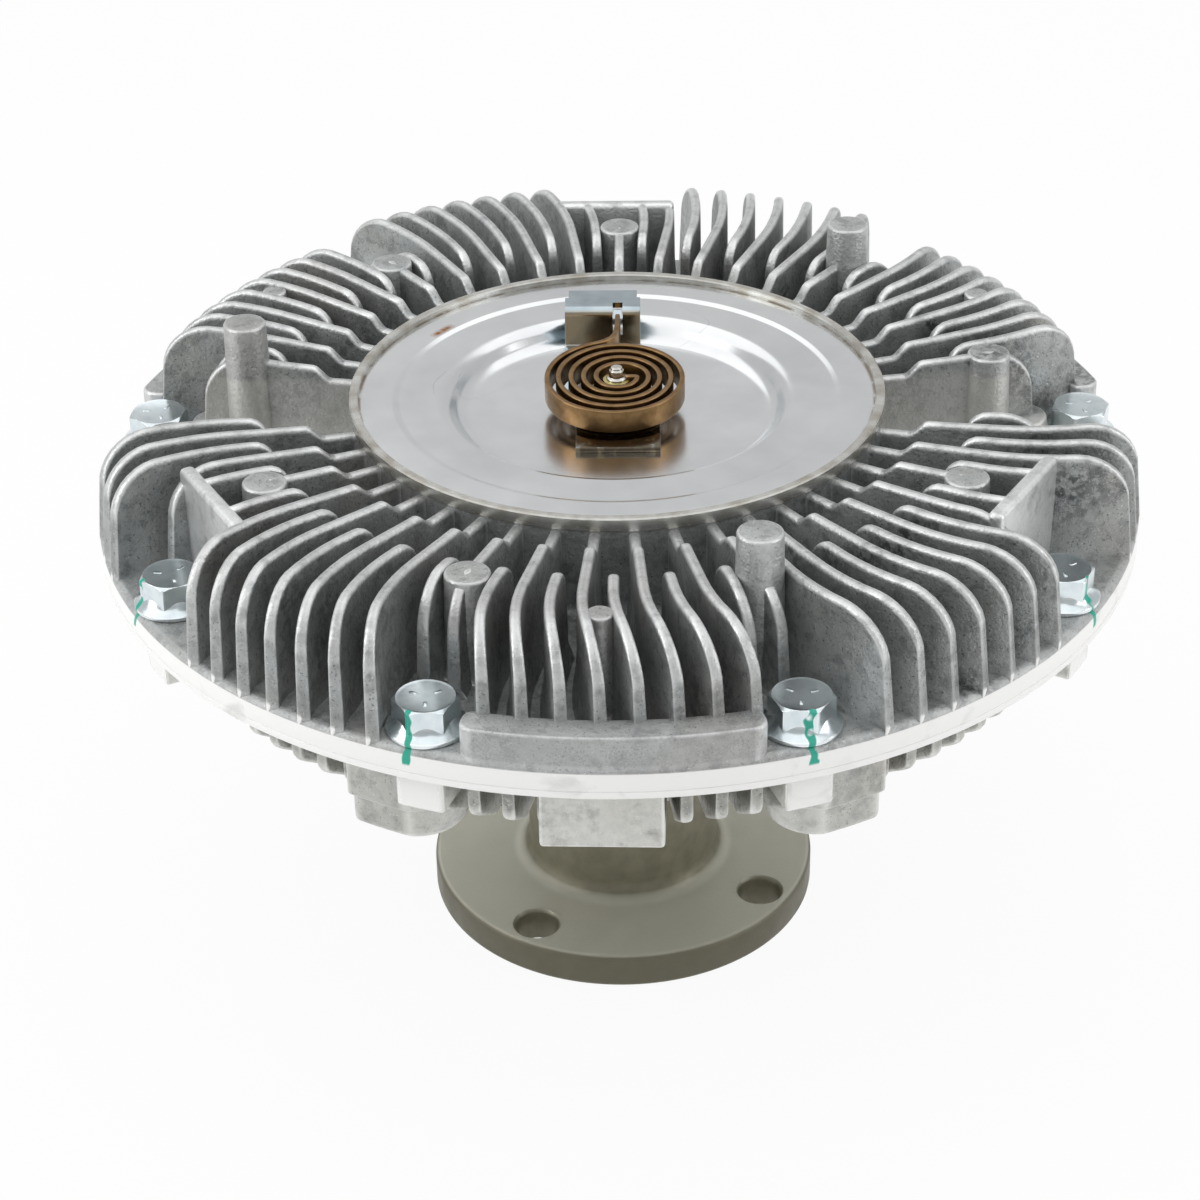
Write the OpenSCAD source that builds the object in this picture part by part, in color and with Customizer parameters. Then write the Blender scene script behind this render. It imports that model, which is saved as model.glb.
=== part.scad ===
// Viscous fan clutch: a finned aluminium drum that turns on a flanged drive shaft.
// Upright, standing on the drive flange, with the bimetal coil on top.
// Angles are measured about the axis from the front (-Y) and grow towards +X.

/* [Overall] */
// Outside diameter of the joined flanges of cover and housing
clutch_d = 268; // [262:1:290]
// Height of the joint between housing and cover above the drive face
part_z = 121; // [116:1:140]

/* [Drive shaft] */
// Diameter of the drive flange
flange_d = 105; // [103:1:120]
// Thickness of the drive flange
flange_t = 10; // [8:0.5:14]
// Diameter of the holes in the drive flange
flange_hole_d = 11.5; // [9:0.5:12.5]
// Number of holes in the drive flange
flange_hole_n = 4; // [3:1:6]
// Distance from the centre of a flange hole to the flange's edge
flange_hole_edge = 8.5; // [7.5:0.5:11]
// Turn of the first flange hole from the front
flange_turn = 58.5; // [0:0.5:90]
// Diameter of the locating recess in the drive face
pilot_d = 40; // [30:1:50]
// Depth of the locating recess
pilot_depth = 4; // [2:0.5:6]
// Diameter of the neck above the flange
neck_d = 52; // [50:1:58]
// Fillet radius where the neck meets the flange
neck_fillet = 5; // [2:0.5:7]
// Diameter of the rotor seat on the shaft
rotor_seat_d = 34; // [30:1:37]

/* [Bearing] */
// Bore of the bearing
bearing_bore = 40; // [38:1:42]
// Outside diameter of the bearing
bearing_od = 80; // [78:1:84]
// Width of the double-row bearing
bearing_w = 32; // [31:1:38]
// Diameter of each ball
ball_d = 11.8; // [10:0.2:12]
// Number of balls in each row
ball_n = 12; // [8:1:13]
// Radial clearance between a ball and its track
ball_clear = 0.1; // [0.05:0.01:0.2]

/* [Working chamber] */
// Width from the wall of the rotor's chamber to the flange's edge
chamber_land = 27.5; // [26.5:0.5:30]
// Depth of the chamber below the joint
chamber_depth = 15; // [14:0.5:18]
// Thickness of the rotor web
rotor_web_t = 3; // [2:0.5:4]
// Running gap round and above the rotor
rotor_gap = 1; // [0.6:0.1:1.5]
// Spacing of the meshing annular lands
land_pitch = 5; // [4.6:0.1:5.2]
// Width of each land
land_w = 2; // [1.5:0.1:2.2]
// Least room between the lands and the radius of the plate lip
land_room = 5; // [3:0.5:12]

/* [Rear housing] */
// Thickness of the housing flange at the joint
housing_flange_t = 1.9; // [1.5:0.1:4]
// Thickness of the chamber floor
floor_t = 6; // [5:0.5:8]
// Wall of the bearing hub
hub_wall = 10; // [7:0.5:12]
// Thickness of the outer wall below the flange, above its sloped edge
housing_wall = 13.5; // [12:0.5:14]
// Depth of the rear fins below the chamber floor
rear_fin_h = 7; // [4:0.5:9]
// Depth of the fan bosses below the chamber floor
fan_boss_h = 10; // [9.5:0.5:16]
// Distance of the fan bolts in from the housing's outer wall
fan_inset = 12.5; // [11:0.5:14]
// Thread diameter of the fan bolts
fan_thread_d = 8; // [6:1:10]
// Metal left between the end of a fan hole and the chamber
fan_hole_floor = 3; // [1:0.5:5]
// Angle of each fan boss from the middle of its third
fan_boss_turn = 26; // [24:0.5:27]

/* [Front cover] */
// Thickness of the cover flange and floor
cover_t = 6.3; // [5:0.1:9]
// Height of the plate lip above the joint
lip_h = 32.4; // [28:0.2:40]
// Outside diameter of the plate lip
lip_d = 136.8; // [134:0.2:142]
// Width of the lip's top
lip_w = 2.4; // [1.5:0.1:3]
// Width of the ledge that the front plate lies on
plate_ledge = 8; // [7:0.5:12]
// Number of fin pairs, each a long and a short fin
fin_pairs = 45; // [36:9:45]
// Thickness of a fin
fin_t = 2.8; // [1.8:0.1:3]
// Width of the outer zone in which the fins bend
fin_bend_zone = 36; // [30:1:44]
// Radius of the bend in a fin
fin_bend_r = 67; // [60:1:90]
// Radius of the fins' outer top corner
fin_corner = 12; // [6:0.5:14]
// Lean of a fin's outer edge from the top corner to the foot
fin_lean = 1.4; // [0:0.1:1.5]
// Angle of the open pocket in the fins at each side
side_pocket = 14; // [10:1:16]
// Distance in from the edge at which the fin beside each web ends
web_side_fin = 13; // [10:0.5:15]
// Length of the short fins that end behind a bolt
short_fin_len = 21; // [18:0.5:26]
// Distance that the fins' inner ends lie below the lip
fin_notch_drop = 4.1; // [3:0.1:6]
// Height of the step up from a fin's inner end
fin_notch_h = 3.3; // [1:0.1:5]
// Rise of the fin tops from the step to the outer corner
fin_rise = 2.4; // [0:0.1:4]
// Height of the raised rim segments above the flange
rim_h = 7.9; // [5:0.1:10]
// Width of the raised rim segments
rim_w = 8; // [6:0.5:9]
// Angle that each raised rim segment covers
rim_span = 30.6; // [24:0.2:31]
// Diameter of the posts inside the bolts
post_d = 11; // [8:0.5:12]
// Distance of the posts in from the circle of bolts
post_inset = 26; // [23:0.5:29]
// Height that the tall posts stand above the lip
post_rise = 10.6; // [4:0.2:16]
// Diameter of the small posts
small_post_d = 6.6; // [4:0.2:8]
// Distance of the small posts in from the rim segments
small_post_inset = 15.6; // [11:0.1:20]
// Thickness of the web walls inside three of the bolts
web_t = 4; // [3:0.5:6]

/* [Cover bolts] */
// Thread diameter
bolt_d = 8; // [6:1:8]
// Length under the head
bolt_len = 16; // [12:1:18]
// Distance from the centre of a cover bolt to the flange's edge
bolt_edge = 10; // [9.5:0.1:12]
// Width across flats of the head
bolt_af = 13; // [10:0.5:13]
// Height of the head with its flange
bolt_head_h = 8.4; // [6:0.1:9]
// Diameter of the head's flange
bolt_flange_d = 17.9; // [15:0.1:18.4]

/* [Front plate and valve] */
// Thickness of the pressed front plate
plate_t = 2; // [1:0.1:2.5]
// Depth of the plate's outer face below the lip
plate_recess = 1.6; // [0.5:0.1:3]
// Radius where the plate's dish begins
dish_r = 43.5; // [40:0.5:50]
// Depth of the plate's dish
dish_depth = 5.3; // [3:0.1:8]
// Thickness of the separator plate
separator_t = 2; // [1:0.1:3]
// Number of rivets in the separator plate
rivet_n = 6; // [3:1:8]
// Diameter of the valve spindle
spindle_d = 6; // [5:0.1:7]
// Thickness of the valve arm
arm_t = 1.5; // [1:0.1:2.5]
// Distance of the ports in from the reservoir's wall
port_inset = 11; // [9:0.5:16]
// Diameter of the ports in the separator plate
port_d = 6; // [4:0.5:8]

/* [Bimetal coil] */
// Outside diameter of the coil
coil_d = 37; // [34:0.5:40]
// Height of the strip
coil_h = 6.5; // [5:0.1:9]
// Thickness of the strip
coil_t = 1.4; // [0.8:0.1:1.5]
// Number of turns
coil_turns = 4.75; // [3.75:1:4.75]
// Gap between the plate's dish and the coil
coil_lift = 3.2; // [2.2:0.1:5]
// Thickness of the bracket's sheet
strap_t = 1.5; // [1:0.1:2]
// Width of the bracket's wall
strap_w = 20; // [18:0.5:24]
// Width of the bracket's foot
strap_foot_w = 21.3; // [19:0.1:24]
// Distance of the wall's middle from the slot that takes the coil's end
strap_shift = 4; // [0:0.5:6]
// Reach of the bracket's wall behind the axis
strap_wall = 34; // [28:0.5:36]
// Reach of the bracket's foot in front of the axis
strap_foot = 23; // [15:0.5:32]
// Depth of the bracket's top tab
strap_tab = 12; // [6:0.5:14]

/* [Fits] */
// Clearance of parts that are fitted and stay put
fit = 0.02; // [0.01:0.01:0.05]
// Running clearance of the spindle in its bush
spindle_run = 0.05; // [0.02:0.01:0.1]
// Gap between parts that pass each other
pass_gap = 0.3; // [0.2:0.05:0.6]

/* [Hidden] */
$fn = 96;
clutch_r = clutch_d / 2;
flange_edge = 1.5;
cover_edge = 1.8;
edge_steps = 3;
overlap = 1;
third = [0, 120, 240];
// heights
floor_top = part_z - chamber_depth;
floor_bottom = floor_top - floor_t;
shoulder_t = 6;
bearing_top = floor_bottom - shoulder_t;
bearing_bottom = bearing_top - bearing_w;
circlip_t = 1.8;
hub_lip = 3;
hub_bottom = bearing_bottom - circlip_t - hub_lip;
flange_under = part_z - housing_flange_t;
cover_top = part_z + cover_t;
lip_top = part_z + lip_h;
plate_top = lip_top - plate_recess;
plate_seat = plate_top - plate_t;
dish_top = plate_top - dish_depth;
fin_notch_z = lip_top - fin_notch_drop;
fin_top_in = fin_notch_z + fin_notch_h;
post_top = fin_top_in + fin_rise * 0.4;
post_tall_top = lip_top + post_rise;
post_draft = 1.4;
separator_top = part_z + separator_t;
coil_bottom = dish_top + coil_lift;
coil_top = coil_bottom + coil_h;
// radii of the castings
chamber_r = clutch_r - chamber_land;
lip_r = lip_d / 2;
plate_r = lip_r - lip_w;
reservoir_r = plate_r - plate_ledge;
plate_step_r = reservoir_r - 2;
hub_r = bearing_od / 2 + hub_wall;
housing_wall_r = chamber_r + housing_wall;
fan_r = housing_wall_r - fan_inset;
fan_boss_r = 12;
fan_boss_grow = 0.8;
fan_boss_step = 2;
fan_hole_depth = fan_boss_h + floor_t - fan_hole_floor;
tab_w = bolt_d + 4.5;
tab_h = 8.6;
pad_w = 29;
pad_h = 5;
pad_turn = -1.5;
rear_fin_in = hub_r + 8;
rear_short_in = hub_r + 34;
rear_fin_r = housing_wall_r - 1;
rear_fin_run = 12;
rear_fin_slope = 8;
fin_r = clutch_r - 2.2;
web_side_r = fin_r - web_side_fin;
rim_r_out = clutch_r - 0.4;
rim_r_in = rim_r_out - rim_w;
rim_fin_r = rim_r_in + overlap / 2;
bolt_r = clutch_r - bolt_edge;
post_r = bolt_r - post_inset;
small_post_r = rim_r_in - small_post_inset;
small_post_turn = -1.5;
low_post_d = 14;
low_post_h = 4.7;
low_post_r = bolt_r - bolt_flange_d / 2 - low_post_d / 2 - 1.5;
bolt_pocket_r = bolt_flange_d / 2 + 5;
bolt_fin_r = bolt_r - bolt_pocket_r;
web_r = bolt_fin_r + web_t / 2;
bolt_step = 40;
bolt_angles = [for (a = [-160:bolt_step:160]) a + 20];
// fins
fin_step = 360 / fin_pairs;
long_angles = [for (i = [0:fin_pairs - 1])
    if (from_side((i + 0.5) * fin_step) > side_pocket / 2) (i + 0.5) * fin_step];
short_angles = [for (i = [0:fin_pairs - 1]) if (from_side(i * fin_step) > side_pocket / 2) i * fin_step];
fin_bend_start = clutch_r - fin_bend_zone;
short_fin_r = bolt_fin_r - short_fin_len;
fin_notch_in = lip_r + 8;
fin_notch_out = fin_notch_in + 3.3;
bend_steps = 4;
corner_steps = 4;
// lands of the labyrinth
land_h = (chamber_depth - rotor_web_t) / 2 - rotor_gap;
rotor_r = chamber_r - rotor_gap - 0.5;
land_last = rotor_r - land_w / 2 - 0.5;
land_n = floor((land_last - land_pitch / 2 - lip_r - land_room) / land_pitch) + 1;
rotor_mid = part_z - chamber_depth / 2;
rotor_hub_r = rotor_seat_d / 2 + 13;
rotor_hub_top = rotor_mid + rotor_web_t / 2 + 2;
flange_pcd = flange_d - 2 * flange_hole_edge;
shaft_end = part_z - 0.6;
shaft_clip_t = 1.4;
shaft_clip_depth = 1.5;
// bearing
ball_r = ball_d / 2;
track_r = ball_r + ball_clear;
pitch_r = (bearing_bore + bearing_od) / 4;
ring_gap = ball_d * 0.48;
inner_land_r = pitch_r - ring_gap / 2;
outer_land_r = pitch_r + ring_gap / 2;
row_z = [bearing_bottom + bearing_w / 4, bearing_top - bearing_w / 4];
seal_t = 1.2;
cage_t = ring_gap - 2;
cage_pocket_r = ball_r + 0.25;
// housing seal
seal_wire = 1.4;
seal_r = chamber_r + housing_wall * 0.37;
seal_groove_w = 2 * seal_wire + 0.6;
seal_groove_h = 2 * seal_wire + 0.05;
// valve
spindle_r = spindle_d / 2;
spindle_head_r = spindle_r + 0.75;
bush_r = spindle_r + 3.5;
bush_top = dish_top + 1;
bush_h = 11;
bush_flange_r = bush_r + 3;
bush_flange_t = 2;
bush_collar_r = bush_r + 1;
spindle_collar_r = spindle_r + 2;
spindle_collar_t = 1.6;
spindle_tip_r = 1.25;
spindle_tip_h = 1.4;
spindle_head_top = coil_top + 1.3;
spindle_slot = coil_t + 0.4;
port_r = reservoir_r - port_inset;
arm_bottom = separator_top + pass_gap;
arm_w = port_d + 3;
arm_hub_r = spindle_r + 4;
wire_r = 0.4;
groove_z = bush_top - bush_h / 2;
groove_h = 3 * wire_r;
// rivets of the separator plate
rivet_r = (reservoir_r + plate_r) / 2;
rivet_d = 3;
rivet_head_d = 6;
rivet_head_h = 1.2;
rivet_grip = 6;
// coil and bracket
coil_r = coil_d / 2;
coil_in = spindle_head_r + coil_t / 2 - 0.05;
coil_out = coil_r - coil_t / 2;
coil_pitch = (coil_out - coil_in) / (coil_turns - 0.35);
coil_shift = 0.8;
coil_steps = 24;
coil_lead = 0.125;
strap_hole_r = bush_collar_r + 0.7;
strap_wall_top = coil_top + 2.2;
strap_slot = coil_t + 1.2;
strap_bend = 2;

// A point at radius r and angle a from the front
function polar(r, a) = [r * sin(a), -r * cos(a)];

// Points on an arc about c, from angle a to angle b, in the plane of a profile
function arc(c, r, a, b, n) = [for (i = [0:n]) let (t = a + (b - a) * i / n) c + r * [cos(t), sin(t)]];

// Smallest turn between two angles
function turn_between(a, b) = abs((a - b + 540) % 360 - 180);

// Angle of a fin at the bolt circle, for a fin that starts at angle a
function fin_end(a) = a + asin(fin_bend(bolt_r) / bolt_r);

// Sideways sweep of a fin at radius r
function fin_bend(r) = r > fin_bend_start ? pow(r - fin_bend_start, 2) / (2 * fin_bend_r) : 0;

// Cosine of the angle between a fin and the radius at radius r
function fin_cos(r) = r > fin_bend_start ? sqrt(1 - pow((r - fin_bend_start) / fin_bend_r, 2)) : 1;

// A fin stops short behind a bolt, stops at the rim segments, and otherwise runs to the edge
function at_bolt(a) = min([for (b = bolt_angles) turn_between(fin_end(a), b)]) < 4.8;
function at_web(a) = min([for (t = third) turn_between(a, t + 60)]) < 0.8 * fin_step;
function at_rim(a) = min([for (t = third) turn_between(fin_end(a), t)]) < rim_span / 2;
function beside_web(a) = min([for (t = third) turn_between(a, t + 60 - fin_step)]) < fin_step / 4;
function from_side(a) = min(turn_between(a, 90), turn_between(a, -90));
function at_side(a) = from_side(fin_end(a)) < side_pocket / 2 + 1;
function fin_reach(a) = at_web(a) ? web_r : at_bolt(a) || at_side(a) ? bolt_fin_r
    : at_rim(a) ? rim_fin_r : beside_web(a) ? web_side_r : fin_r;

// Plan of one fin that runs towards the front before it is turned to its angle
module fin_plan(r_in, r_out) {
    bend_end = max(r_out, fin_bend_start + 1);
    bend_step = (bend_end - fin_bend_start) / bend_steps;
    radii = concat([r_in], [for (i = [0:bend_steps]) fin_bend_start + bend_step * i]);
    side = [for (r = radii) [fin_bend(r), -r, fin_t / 2 / fin_cos(r)]];
    last = len(side) - 1;
    polygon(concat(
        [for (p = side) [p[0] + p[2], p[1]]],
        [for (i = [0:last]) [side[last - i][0] - side[last - i][2], side[last - i][1]]]
    ));
}

// Height of the fin tops at radius r
function fin_top(r) = fin_top_in + fin_rise * (r - fin_notch_out) / (fin_r - fin_corner - fin_notch_out);

// Outer end of a fin in section: its rounded top corner, then down into the floor
function fin_corner_end(r_out) = let (c = [r_out - fin_corner, fin_top(r_out - fin_corner) - fin_corner])
    concat(arc(c, fin_corner, 90, 0, corner_steps), [[r_out + fin_lean, cover_top - overlap]]);

// A fin that meets a web keeps its height
function fin_outer(r_out) = r_out == web_r
    ? [[r_out, fin_top(r_out)], [r_out, cover_top - overlap]] : fin_corner_end(r_out);

// Section of a long fin, from the lip wall outwards
function long_section(r_out) = concat(
    [[lip_r - overlap, cover_top - overlap], [lip_r - overlap, fin_notch_z], [fin_notch_in, fin_notch_z],
        [fin_notch_out, fin_top_in]],
    fin_outer(r_out));

// Section of a short fin with its rounded inner corner
function short_section(r_out) = let (r = fin_corner / 2, c = [short_fin_r + r, fin_top(short_fin_r + r) - r])
    concat([[short_fin_r, cover_top - overlap]], arc(c, r, 180, 90, corner_steps), fin_outer(r_out));

// All the fins of one kind that end at one radius
module fins(angles, section, r_in, r_out) {
    if (len(angles) > 0) intersection() {
        rotate_extrude() polygon(section);
        translate([0, 0, cover_top - overlap])
            linear_extrude(height = lip_top + fin_rise + fin_notch_h - cover_top + 2 * overlap)
                for (a = angles)
                    rotate(a) fin_plan(r_in, r_out + fin_lean + overlap);
    }
}

// Rows of square lands on a face, as points of a revolved section from the outside in
function lands_in(first_r, base, tip) = [for (i = [0:land_n - 1], k = [0:3])
    [first_r - i * land_pitch + (k < 2 ? 0.5 : -0.5) * land_w, k == 0 || k == 3 ? base : tip]];

// The same rows from the inside out
function lands_out(first_r, base, tip) = [for (i = [0:land_n - 1], k = [0:3])
    [first_r - (land_n - 1 - i) * land_pitch + (k < 2 ? -0.5 : 0.5) * land_w, k == 0 || k == 3 ? base : tip]];

// Flanged drive shaft, one forging
module drive_shaft() {
    flange_r = flange_d / 2;
    neck_r = neck_d / 2;
    seat_r = rotor_seat_d / 2;
    clip_r = seat_r - shaft_clip_depth;
    color("darkkhaki")
        difference() {
            rotate_extrude()
                polygon(concat(
                    [[0, pilot_depth], [pilot_d / 2, pilot_depth], [pilot_d / 2, 0]],
                    arc([flange_r - flange_edge, flange_edge], flange_edge, 270, 360, edge_steps),
                    arc([flange_r - flange_edge, flange_t - flange_edge], flange_edge, 0, 90, edge_steps),
                    arc([neck_r + neck_fillet, flange_t + neck_fillet], neck_fillet, 270, 180, 6),
                    [[neck_r, bearing_bottom], [bearing_bore / 2, bearing_bottom],
                        [bearing_bore / 2, bearing_top], [seat_r, bearing_top],
                        [seat_r, rotor_hub_top], [clip_r, rotor_hub_top],
                        [clip_r, rotor_hub_top + shaft_clip_t], [seat_r, rotor_hub_top + shaft_clip_t],
                        [seat_r, shaft_end], [0, shaft_end]]));
            for (i = [0:flange_hole_n - 1])
                rotate(flange_turn + i * 360 / flange_hole_n)
                    translate([0, -flange_pcd / 2, -overlap])
                        cylinder(d = flange_hole_d, h = flange_t + 2 * overlap);
        }
}

// Tracks for the two rows of balls, to cut from a ring
module ball_tracks() {
    for (z = row_z)
        translate([0, 0, z])
            rotate_extrude()
                translate([pitch_r, 0]) circle(r = track_r);
}

// One ring of the bearing with its two ball tracks
module bearing_ring(r_in, r_out) {
    difference() {
        translate([0, 0, bearing_bottom])
            difference() {
                cylinder(r = r_out, h = bearing_w);
                translate([0, 0, -overlap]) cylinder(r = r_in, h = bearing_w + 2 * overlap);
            }
        ball_tracks();
    }
}

module bearing_inner_ring() {
    color("lightsteelblue") bearing_ring(bearing_bore / 2 + fit, inner_land_r);
}

module bearing_outer_ring() {
    color("lightsteelblue") bearing_ring(outer_land_r, bearing_od / 2 - fit);
}

// A flat ring between two radii
module washer(r_in, r_out, z, h) {
    translate([0, 0, z])
        difference() {
            cylinder(r = r_out, h = h);
            translate([0, 0, -overlap]) cylinder(r = r_in, h = h + 2 * overlap);
        }
}

module bearing_seal_lower() {
    color("dimgray") washer(inner_land_r + pass_gap, outer_land_r, bearing_bottom + 0.2, seal_t);
}

module bearing_seal_upper() {
    color("dimgray") washer(inner_land_r + pass_gap, outer_land_r, bearing_top - 0.2 - seal_t, seal_t);
}

// Balls of both rows
module bearing_balls() {
    color("silver")
        for (z = row_z, i = [0:ball_n - 1])
            rotate(i * 360 / ball_n)
                translate([0, -pitch_r, z]) sphere(r = ball_r);
}

// Cage with a round pocket for each ball
module bearing_cage() {
    rim = 2.2;
    low = row_z[0] - cage_pocket_r + rim;
    high = row_z[1] + cage_pocket_r - rim;
    color("goldenrod")
        difference() {
            washer(pitch_r - cage_t / 2, pitch_r + cage_t / 2, low, high - low);
            for (z = row_z, i = [0:ball_n - 1])
                rotate(i * 360 / ball_n)
                    translate([0, cage_t - pitch_r, z])
                        rotate([90, 0, 0]) cylinder(r = cage_pocket_r, h = 2 * cage_t);
        }
}

// A circlip: a flat ring with a gap
module circlip(r_in, r_out, z, h, gap) {
    difference() {
        washer(r_in, r_out, z, h);
        translate([-gap / 2, 0, z - overlap]) cube([gap, r_out + overlap, h + 2 * overlap]);
    }
}

module bearing_circlip() {
    color("gray")
        circlip(bearing_od / 2 - 4, bearing_od / 2 + 2.4, bearing_bottom - circlip_t + fit,
            circlip_t - 2 * fit, 10);
}

module rotor_circlip() {
    color("gray")
        circlip(rotor_seat_d / 2 - shaft_clip_depth + fit, rotor_seat_d / 2 + 2.5, rotor_hub_top + fit,
            shaft_clip_t - 2 * fit, 6);
}

// Rotor: hub, web and meshing lands on both faces
module rotor() {
    web_top = rotor_mid + rotor_web_t / 2;
    web_bottom = rotor_mid - rotor_web_t / 2;
    bleed_r = rotor_hub_r + 14;
    bleed_d = 8;
    bleed_n = 6;
    color("gainsboro")
        difference() {
            rotate_extrude()
                polygon(concat(
                    [[rotor_seat_d / 2 + fit, bearing_top + fit], [rotor_hub_r, bearing_top + fit],
                        [rotor_hub_r, web_bottom]],
                    lands_out(land_last, web_bottom, web_bottom - land_h),
                    [[rotor_r, web_bottom], [rotor_r, web_top]],
                    lands_in(land_last, web_top, web_top + land_h),
                    [[rotor_hub_r, web_top], [rotor_hub_r, rotor_hub_top],
                        [rotor_seat_d / 2 + fit, rotor_hub_top]]));
            for (i = [0:bleed_n - 1])
                rotate(i * 360 / bleed_n)
                    translate([0, -bleed_r, web_bottom - overlap])
                        cylinder(d = bleed_d, h = rotor_web_t + 2 * overlap);
        }
}

// Plan of a fan boss: round towards the middle of its third and square on the other side
module fan_boss_plan(grow) {
    side = fan_boss_r + grow;
    face_r = housing_wall_r - overlap + grow;
    intersection() {
        circle(r = face_r);
        union() {
            translate([0, -fan_r]) circle(r = side);
            translate([0, -face_r - overlap]) square([side, face_r + overlap - fan_r + side]);
        }
    }
}

// A plan raised from a height under the chamber floor to the flange, leaving the chamber free
module up_to_flange(start) {
    translate([0, 0, start])
        linear_extrude(height = floor_bottom + floor_t / 2 - start) children();
    translate([0, 0, floor_bottom])
        linear_extrude(height = flange_under + overlap / 2 - floor_bottom)
            difference() {
                children();
                circle(r = chamber_r + overlap);
            }
}

// Rear fins: short radial plates under the chamber floor with sloped outer ends
module rear_fins() {
    bottom = floor_bottom - rear_fin_h;
    start = rear_fin_r + overlap;
    intersection() {
        rotate_extrude()
            polygon([[rear_fin_in, floor_bottom + overlap], [rear_fin_in, bottom],
                [rear_fin_r - rear_fin_run, bottom], [rear_fin_r, bottom + rear_fin_slope],
                [rear_fin_r, flange_under + overlap / 2],
                [chamber_r + overlap, flange_under + overlap / 2],
                [chamber_r + overlap, floor_bottom + overlap]]);
        translate([0, 0, bottom - overlap])
            linear_extrude(height = flange_under - bottom + 2 * overlap)
                for (i = [0:fin_pairs - 1]) {
                    rotate((i + 0.5) * fin_step)
                        translate([-fin_t / 2, -start]) square([fin_t, start - rear_fin_in + overlap]);
                    rotate(i * fin_step)
                        translate([-fin_t / 2, -start]) square([fin_t, start - rear_short_in]);
                }
    }
}

// Finned rear housing, one casting: bearing hub, chamber, flange, fan bosses, pads and bolt tabs
module rear_housing() {
    bore_r = bearing_od / 2;
    clip_r = bore_r + 2.5;
    neck_hole_r = bore_r - 4;
    tab_len = clutch_r - housing_wall_r + 3 * overlap;
    wall_end = flange_under - tab_h + overlap;
    color("silver")
        difference() {
            union() {
                rotate_extrude()
                    polygon(concat(
                        [[bore_r, hub_bottom], [bore_r, bearing_bottom - circlip_t],
                            [clip_r, bearing_bottom - circlip_t], [clip_r, bearing_bottom],
                            [bore_r, bearing_bottom], [bore_r, bearing_top],
                            [neck_hole_r, bearing_top], [neck_hole_r, floor_top]],
                        lands_out(land_last - land_pitch / 2, floor_top, floor_top + land_h),
                        [[chamber_r, floor_top], [chamber_r, part_z], [clutch_r, part_z],
                            [clutch_r, flange_under], [housing_wall_r, flange_under],
                            [housing_wall_r, wall_end], [chamber_r - overlap, floor_bottom],
                            [hub_r, floor_bottom], [hub_r, hub_bottom]]));
                rear_fins();
                for (b = bolt_angles)
                    rotate(b)
                        intersection() {
                            translate([-tab_w / 2, -clutch_r - overlap, flange_under - tab_h])
                                cube([tab_w, tab_len, tab_h + housing_flange_t / 2]);
                            cylinder(r = clutch_r, h = part_z);
                        }
                for (t = third) {
                    rotate(t + pad_turn)
                        up_to_flange(floor_bottom - pad_h)
                            translate([-pad_w / 2, -housing_wall_r + overlap / 2])
                                square([pad_w, housing_wall + floor_t]);
                    for (m = [0, 1])
                        rotate(t)
                            mirror([m, 0, 0])
                                rotate(fan_boss_turn) {
                                    translate([0, 0, floor_bottom - fan_boss_h])
                                        linear_extrude(height = fan_boss_h) fan_boss_plan(0);
                                    up_to_flange(floor_bottom - fan_boss_step)
                                        fan_boss_plan(fan_boss_grow);
                                }
                }
            }
            washer(seal_r - seal_groove_w / 2, seal_r + seal_groove_w / 2, part_z - seal_groove_h,
                seal_groove_h + overlap);
            for (b = bolt_angles)
                rotate(b)
                    translate([0, -bolt_r, flange_under - tab_h - overlap])
                        cylinder(d = bolt_d + 2 * fit, h = tab_h + housing_flange_t + 2 * overlap);
            for (t = third, s = [-1, 1])
                rotate(t + s * fan_boss_turn)
                    translate([0, -fan_r, floor_bottom - fan_boss_h - overlap])
                        cylinder(d = fan_thread_d, h = fan_hole_depth + overlap);
        }
}

// Sealing ring in the joint between housing and cover
module housing_seal() {
    color("black")
        translate([0, 0, part_z - seal_groove_h + seal_wire])
            rotate_extrude()
                translate([seal_r, 0]) circle(r = seal_wire);
}

// A post on the cover's floor, wider at its foot
module post(r, d, top) {
    translate([0, -r, cover_top - overlap])
        cylinder(d1 = d + post_draft, d2 = d, h = top + overlap - cover_top);
}

// A web wall across the fins inside a bolt
module web() {
    half = web_r * tan(fin_step) + fin_t / 2;
    translate([-half + fin_bend(web_r), -web_r - web_t / 2, cover_top - overlap])
        cube([2 * half, web_t, fin_top(web_r) + overlap - cover_top]);
}

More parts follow.
